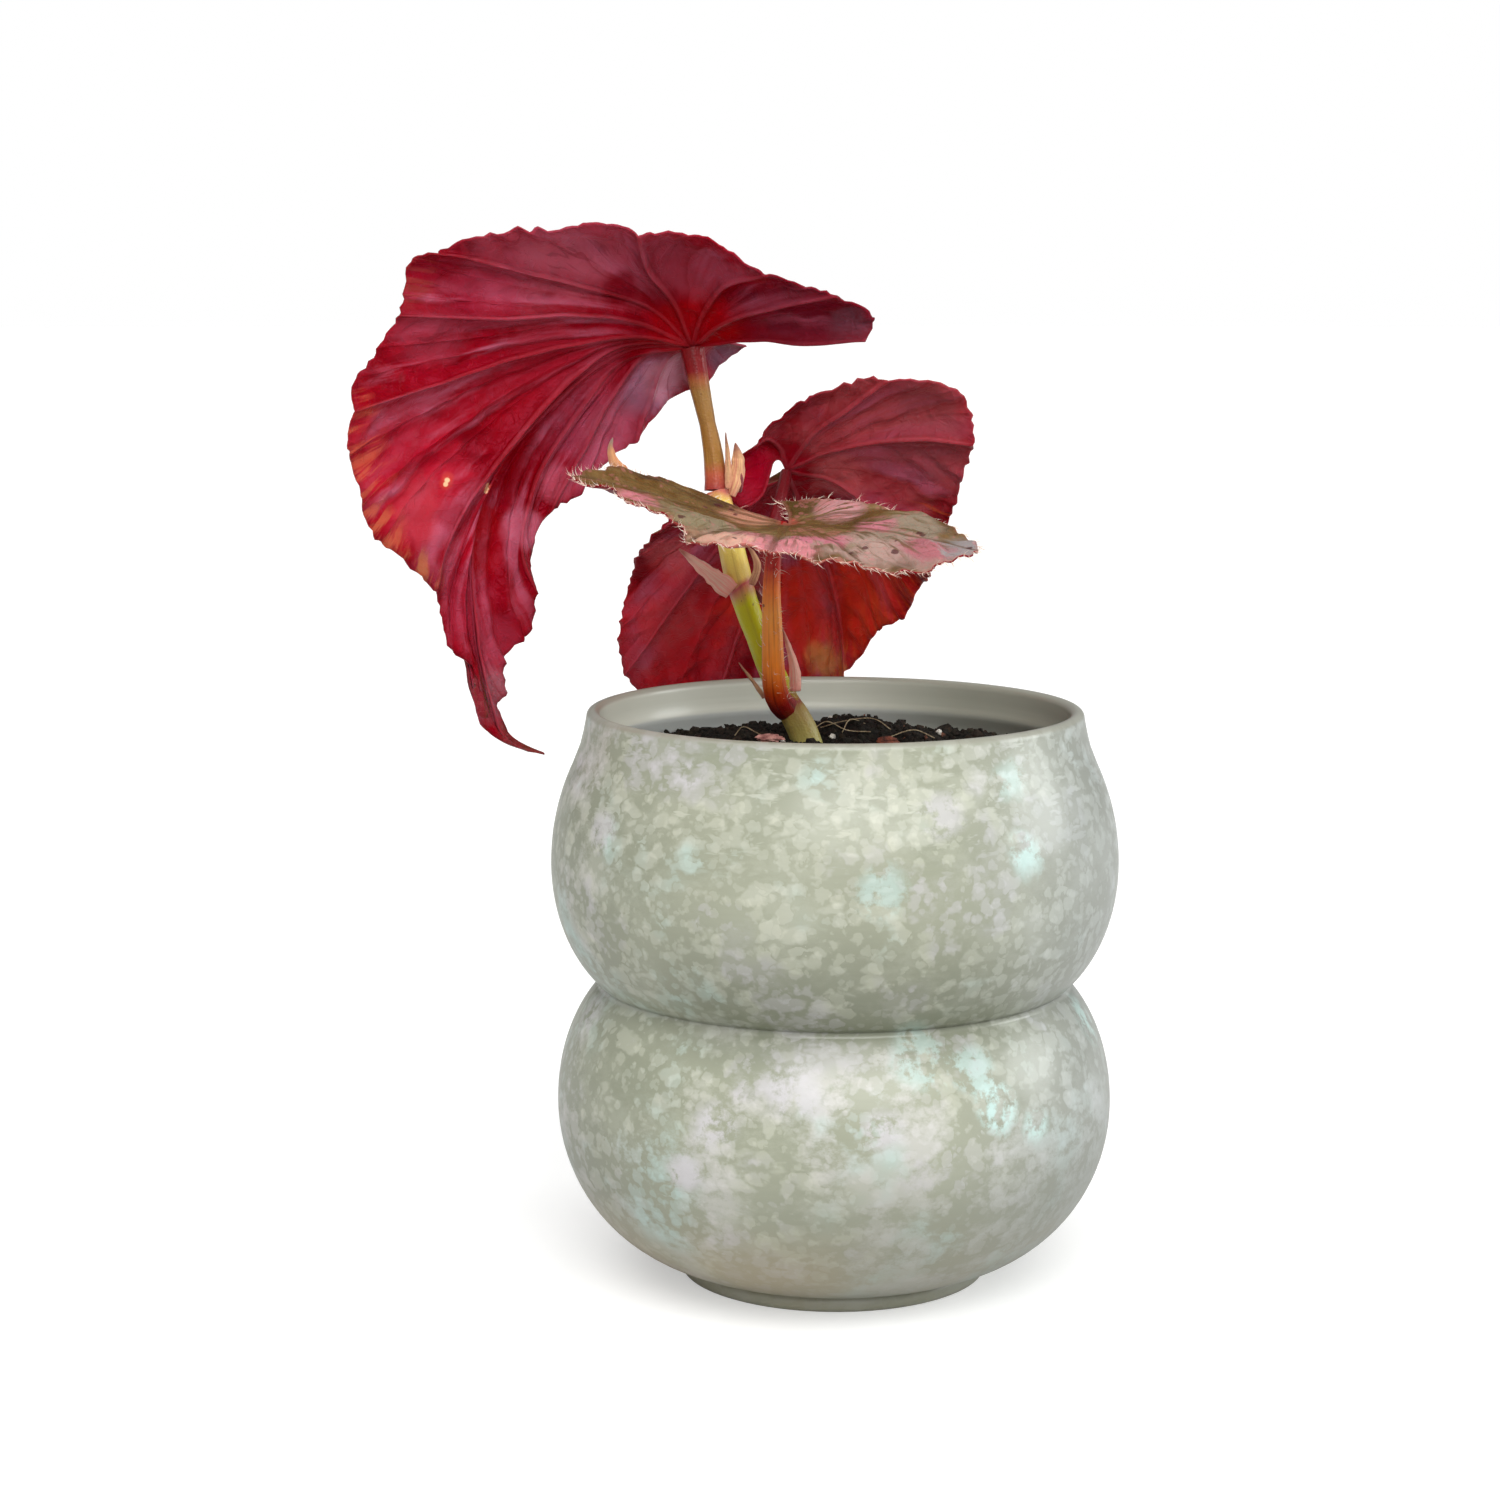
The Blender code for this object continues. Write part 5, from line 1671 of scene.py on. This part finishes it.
def cut_margin(grid, reach, seed):
    """Cuts teeth and bays; also gives the way out of the margin and the length along it."""
    margin = running_length(grid[:, -1])
    lane_end = unit(grid[:, -1] - grid[:, -4])
    edge_line = unit(np.gradient(grid[:, -1], axis=0))
    outward = unit(lane_end - edge_line * (lane_end * edge_line).sum(1, keepdims=True))
    stand_out = teeth(margin, seed)
    tail = fade((lane_end * outward).sum(1), 0.15, 0.5)
    ends = fade(margin, 0, 4) * fade(margin[-1] - margin, 0, 4) * tail
    cut = (stand_out * ends)[:, None, None] * outward[:, None] * (reach**9)[None, :, None]
    return grid + cut, outward, margin


def measure_blade(grid, lanes, fan, mains, entries):
    """Distances over the blade, and where each place lies between two veins."""
    across = sideways_length(grid)
    along = running_length(grid, axis=1)
    veins = [entries[i] for i, entry in enumerate(fan) if not isinstance(entry, Beside)]
    from_vein = np.min([np.abs(across - across[entries[i]]) for i in mains], 0)
    from_branch = np.min([np.abs(across - across[column]) for column in veins], 0)
    starts = np.minimum(lanes.astype(int), len(fan) - 2)
    room = np.array([across[entries[s + 1]] - across[entries[s]] for s in starts])
    share = (lanes - starts)[:, None]
    to_edge = along[:, -1:] - along
    to_edge = np.minimum(to_edge, np.minimum(across, across[-1:] - across))
    span, part = np.zeros_like(along), np.zeros_like(along)
    for left, right in zip(mains, mains[1:]):
        inside = (lanes >= left) & (lanes <= right)
        width = across[entries[right]] - across[entries[left]]
        span[inside] = width
        part[inside] = (across[inside] - across[entries[left]]) / np.maximum(width, 1e-6)
    return Measures(along, to_edge, from_vein, from_branch, room, share, span, np.clip(part, 0, 1))


def blade_relief(grid, reach, far, panel, fold, margin, crease, seed):
    """How far the blade stands out of its smooth form, by creases, pleats, waves and ruffles."""
    along, room = far.along, far.room
    margin_calm = 1 - 0.5 * fade(reach[None], 0.72, 1)
    uneven = 1 + 0.6 * ripple(panel, 0.5, seed + 13)
    deep = -crease * np.minimum(far.span, 17) * fold**0.65
    height = deep * uneven * fade(along, 0, 20) * margin_calm
    branch_fold = np.sin(math.pi * far.share) ** 0.7 * np.minimum(room, 9)
    height -= 0.07 * branch_fold * fade(along, 12, 36) * margin_calm
    pleats = ripple(panel, 0.9, seed + 15) + 0.35 * ripple(panel, 2.2, seed + 17)
    height += 0.13 * np.minimum(room, 8) * pleats * fade(along, 4, 20)
    height += 0.8 * ripple(grid, 0.07, seed) * reach[None] + 0.35 * ripple(grid, 0.2, seed + 2)
    height += RUFFLE_HEIGHT * ripple(along_line(margin), 0.13, seed + 9)[:, None] * (reach**5)[None]
    chevron = along - 1.1 * far.from_vein + 1.6 * ripple(grid, 0.12, seed + 4)
    chevron = (chevron / CROSS_FOLD_SPACING) % 1
    cross_fold = np.cos(math.tau * chevron) * fade(far.from_vein, 0.4, 2.4) * fade(along, 10, 25)
    height += 0.36 * cross_fold * np.minimum(room / 8, 1) * (1 + 0.8 * ripple(grid, 0.1, seed + 6))
    height -= height[:, -1].mean() * (reach**4)[None]
    return height * fade(room, 0, 2.5)


def blade_shell(name, under_skin, upper_skin, fields, turned):
    """A closed mesh of the two skins and the rim between them, with the fields on both."""
    columns, rows = under_skin.shape[0], under_skin.shape[1] - 1
    offset = 1 + columns * rows

    def flatten(field):
        rows_out = field[:, 1:].reshape(columns * rows, *field.shape[2:])
        return np.concatenate([field[:1, 0], rows_out])

    def at(column, row, skin):
        return skin * offset + (0 if row == 0 else 1 + column * rows + row - 1)

    faces = []
    for column in range(columns - 1):
        for row in range(rows):
            for skin in (0, 1):
                ring = [at(column, row, skin), at(column, row + 1, skin),
                        at(column + 1, row + 1, skin), at(column + 1, row, skin)]
                if row == 0:
                    ring = ring[:3]
                faces.append(ring if skin else ring[::-1])
        faces.append([at(column, rows, 1), at(column, rows, 0), at(column + 1, rows, 0),
                      at(column + 1, rows, 1)])
    for column, flip in ((0, False), (columns - 1, True)):
        for row in range(rows):
            ring = [at(column, row, 0), at(column, row + 1, 0), at(column, row + 1, 1),
                    at(column, row, 1)]
            faces.append(ring[::-1] if flip else ring)
    if turned:
        faces = [face[::-1] for face in faces]
    places = np.concatenate([flatten(under_skin), flatten(upper_skin)])
    mesh = bpy.data.meshes.new(name)
    mesh.from_pydata((places * MM).tolist(), [], faces)
    for key, field in fields.items():
        flat = flatten(field[..., None])[:, 0]
        store(mesh, key, np.concatenate([flat, flat]))
    mesh.shade_smooth()
    return mesh


def blade(name, attachment, fan, under, rows, seed, crease):
    """A thin leaf blade, creased along its veins, with a toothed and ruffled margin."""
    grid, lanes, mains, entries = blade_grid(attachment, fan, rows)
    reach = np.linspace(0, 1, rows + 1)
    grid, outward, margin = cut_margin(grid, reach, seed)
    far = measure_blade(grid, lanes, fan, mains, entries)
    panel = np.stack([lanes[:, None] + 0 * far.along, 0.045 * far.along, 0 * far.along], -1)
    lopsided = 0.1 * np.sin(math.tau * far.part) * ripple(panel, 0.6, seed + 11)
    turn = math.pi * np.clip(far.part + lopsided, 0, 1)
    steady = facing(grid, under, 14)
    height = blade_relief(grid, reach, far, panel, np.sin(turn), margin, crease, seed)
    grid = grid + steady * height[..., None]

    normals = facing(grid, under)
    loose = fade(far.room, 0.4, 2.5)[..., None]
    normals = unit(normals * loose + steady * (1 - loose))
    vein_radius = 0.95 - 0.55 * reach[None]
    ridge = 0.2 * np.exp(-((far.from_vein / vein_radius) ** 2)) * (1 - 0.6 * reach[None])
    branch = 0.1 * np.exp(-((far.from_branch / (0.6 * vein_radius)) ** 2))
    branch = branch * fade(far.along, 20, 50)
    under_skin = grid + normals * (BLADE_THICKNESS / 2 + np.maximum(ridge, branch))[..., None]
    upper_skin = grid - normals * (BLADE_THICKNESS / 2)
    fields = {"from_vein": far.from_vein, "from_branch": far.from_branch, "along": far.along,
              "to_edge": far.to_edge, "flank": np.cos(turn) * fade(far.span, 0, 5),
              "fan_place": np.broadcast_to(lanes[:, None], turn.shape)}
    sideways, onward = grid[1:, :-1] - grid[:-1, :-1], grid[:-1, 1:] - grid[:-1, :-1]
    turned = (np.cross(sideways, onward) * normals[:-1, :-1]).sum() < 0
    mesh = blade_shell(name, under_skin, upper_skin, fields, turned)
    return mesh, grid, outward, margin


def colour_skins(mesh, lower, upper):
    """The first material on the underside and the rim, the second on the upper side."""
    mesh.materials.append(lower)
    mesh.materials.append(upper)
    half = len(mesh.vertices) // 2
    index = np.zeros(len(mesh.polygons), np.int32)
    for face in mesh.polygons:
        if min(face.vertices) >= half:
            index[face.index] = 1
    mesh.polygons.foreach_set("material_index", index)


def make_blades():
    """The three blades; gives the front one's grid, the way out of its margin and its length."""
    upper = upper_material()
    leaves = [
        ("top", "leaf_red", TOP_ATTACHMENT, TOP_FAN, (0, -1, -0.2), 64, 3, 0.26,
         underside_material("top_underside", TOP_TINTS, TOP_GLOW, TOP_OVERLAY, crinkles=0.25)),
        ("back", "leaf_red", BACK_ATTACHMENT, BACK_FAN, (0, -1, -0.2), 50, 21, 0.2,
         underside_material("back_underside", BACK_TINTS, BACK_GLOW, BACK_OVERLAY,
                            vein_amount=0.25)),
        ("front", "leaf_pink", FRONT_ATTACHMENT, FRONT_FAN, (0, 0, -1), 44, 42, 0.09,
         underside_material("front_underside", FRONT_TINTS)),
    ]
    for name, slot_name, attachment, fan, under, rows, seed, crease, underside in leaves:
        mesh, *edges = blade(name + "_blade", attachment, fan, under, rows, seed, crease)
        colour_skins(mesh, underside, upper)
        place_piece(link_object(name + "_blade", mesh), name + "_leaf")
    return edges


def root_points(name, places, leans):
    """Points that hairs grow from, each with the way its hair leans."""
    mesh = bpy.data.meshes.new(name)
    mesh.from_pydata((np.asarray(places) * MM).tolist(), [], [])
    layer = mesh.attributes.new("lean", "FLOAT_VECTOR", "POINT")
    layer.data.foreach_set("vector", np.asarray(leans, np.float32).ravel())
    return mesh


def make_hairs(grid, outward, margin, stalk, stalk_radii):
    """Hairs on the margin of the front blade, on its two inner edges and on its petiole."""
    wanted = np.arange(HAIR_SPACING, margin[-1], HAIR_SPACING)
    nearest = [int(np.abs(margin - w).argmin()) for w in wanted]
    rows = np.arange(8, grid.shape[1] - 1, 2)
    places = [grid[nearest, -1], grid[0, rows], grid[-1, rows]]
    leans = [outward[nearest], unit(grid[0, rows] - grid[3, rows]),
             unit(grid[-1, rows] - grid[-4, rows])]
    pick = np.random.default_rng(6)
    picked = pick.integers(12, len(stalk) - 6, PETIOLE_HAIRS)
    turns = pick.uniform(0, math.tau, PETIOLE_HAIRS)
    around = np.stack([np.cos(turns), np.sin(turns), 0 * turns], 1)
    places.append(stalk[picked] + around * stalk_radii[picked, None] * 0.97)
    leans.append(unit(around + (0, 0, 0.4)))
    roots = root_points("margin_roots", np.concatenate(places), np.concatenate(leans))
    item = grow("margin_hairs", roots, hair_tree(), Length=HAIR_LENGTH * MM,
                Thickness=HAIR_THICKNESS * MM, Untidiness=0.7, Seed=4, Material=hair_material())
    place_piece(item, "front_leaf")


# ---------------------------------------------------------------- scales and bud


def scale_piece(name, centre_line, hollow_side, half_width, cup, belly, material, seed):
    """A thin, cupped scale with a ragged edge and a drawn-out tip."""
    rows, columns = 30, 12
    line = even_places(centre_line, rows)
    ahead = unit(np.gradient(line, axis=0))
    hollow = np.array(hollow_side, float) / np.linalg.norm(hollow_side)
    side = unit(np.cross(ahead, hollow))
    share = np.linspace(0, 1, rows + 1)
    bellied = np.sin(math.pi * (0.16 + 0.84 * share)) ** 0.8
    tapered = (1 - share) ** 0.8 * (0.7 + 0.3 * fade(share, 0, 0.15))
    width = half_width * (0.04 + 0.96 * (belly * bellied + (1 - belly) * tapered))
    ragged = 1 + 0.16 * ripple(line, 0.9, seed)
    across = np.linspace(-1, 1, columns + 1)
    bow = cup * width[:, None] * across[None] ** 2
    grid = (line[:, None] + side[:, None] * (width * ragged)[:, None, None] * across[None, :, None]
            + hollow * bow[..., None])
    pleat = 0.12 * np.cos(math.tau * 2.5 * across)[None] * width[:, None] / half_width
    grid = grid + hollow * (pleat + 0.25 * ripple(grid, 0.45, seed + 3))[..., None]
    thick = SCALE_HALF_THICKNESS * (0.3 + 0.7 * (1 - across**2))[None, :, None]
    normals = unit(np.cross(np.gradient(grid, axis=1), np.gradient(grid, axis=0)))
    front, back = grid + normals * thick, grid - normals * thick
    places = np.concatenate([front.reshape(-1, 3), back.reshape(-1, 3)])
    wide = columns + 1
    count = wide * (rows + 1)
    faces = []
    for row in range(rows):
        for column in range(columns):
            a = row * wide + column
            ring = [a, a + 1, a + 1 + wide, a + wide]
            faces.append(ring)
            faces.append([count + i for i in reversed(ring)])
    border = list(range(wide))
    border += [row * wide + columns for row in range(1, rows + 1)]
    border += [rows * wide + column for column in reversed(range(columns))]
    border += [row * wide for row in reversed(range(1, rows))]
    for a, b in zip(border, border[1:] + border[:1]):
        faces.append([b, a, count + a, count + b])
    mesh = bpy.data.meshes.new(name)
    mesh.from_pydata((places * MM).tolist(), [], faces)
    store(mesh, "share", np.tile(np.repeat(share, wide), 2))
    store(mesh, "round", np.tile(np.tile((across + 1) / 2, rows + 1), 2))
    mesh.materials.append(material)
    mesh.shade_smooth()
    return link_object(name, mesh)


def make_scales():
    """The papery scales at the cane's nodes, and the dried tip of the front leaf."""
    papery = papery_material("papery_scale", (238, 190, 134), (206, 116, 98), (140, 66, 50))
    # A pinker, paler copy of the scale skin for the two shaded scales: partly their colour, partly
    # painted light.
    rosy = papery_material("rosy_brightened_scale", (255, 212, 188), (252, 150, 134), (170, 78, 60))
    for seed, (name, (line, hollow, *form)) in enumerate(STIPULES.items()):
        skin = rosy if name in ROSY_BRIGHTENED_STIPULES else papery
        item = scale_piece(name + "_scale", line, hollow, *form, skin, 5 + seed)
        place_piece(item, name)
    dry_skin = papery_material("dry_tip", (222, 160, 104), (190, 112, 76), (132, 116, 108))
    item = scale_piece("dry_leaf_tip", DRY_TIP, (0.3, 1, 0.2), 1.5, 0.4, 0, dry_skin, 19)
    place_piece(item, "front_leaf")


def make_bud():
    """The folded bud at the top of the cane: a furrowed, slightly twisted cone."""
    base, tip = np.array(BUD_BASE), np.array(BUD_TIP)
    rows, sides = 22, 20
    share = np.linspace(0, 1, rows + 1)[:, None]
    turn = np.linspace(0, math.tau, sides, endpoint=False)[None]
    radius = BUD_RADIUS * np.sin(math.pi * (0.06 + 0.9 * share)) ** 0.7 * (1.15 - 0.45 * share)
    furrow = 1 - 0.16 * np.abs(np.cos(1.5 * turn + 2.2 * share))
    x = radius * furrow * np.cos(turn + 1.2 * share)
    y = radius * furrow * np.sin(turn + 1.2 * share)
    places = base + (tip - base) * share[..., None] + np.stack([x, y, 0 * x], -1)
    places = np.concatenate([[base - (0, 0, 0.1)], places.reshape(-1, 3), [tip + (0, 0, 0.1)]])
    faces = [(0, 1 + (i + 1) % sides, 1 + i) for i in range(sides)]
    for row in range(rows):
        low, high = 1 + row * sides, 1 + (row + 1) * sides
        faces += [(low + i, low + (i + 1) % sides, high + (i + 1) % sides, high + i)
                  for i in range(sides)]
    last = 1 + rows * sides
    faces += [(last + i, last + (i + 1) % sides, len(places) - 1) for i in range(sides)]
    mesh = bpy.data.meshes.new("folded_bud")
    mesh.from_pydata((places * MM).tolist(), [], faces)
    along = np.repeat(share[:, 0], sides)
    store(mesh, "share", [0, *along, 1])
    store(mesh, "round", [0, *np.tile(turn[0] / math.tau, rows + 1), 0])
    mesh.materials.append(papery_material("bud_skin", (140, 34, 44), (104, 16, 30), (84, 30, 30)))
    mesh.shade_smooth()
    place_piece(link_object("folded_bud", mesh), "terminal_bud")


def main():
    """Sets the camera and the light, then makes the pot and what grows in it."""
    set_camera()
    lay_floor()
    light_the_sky()
    hang_lamps()
    make_pot()
    make_soil()
    stalk, stalk_radii = make_stems()
    grid, outward, margin = make_blades()
    make_hairs(grid, outward, margin, stalk, stalk_radii)
    make_scales()
    make_bud()
    drop_loose_bits()


main()
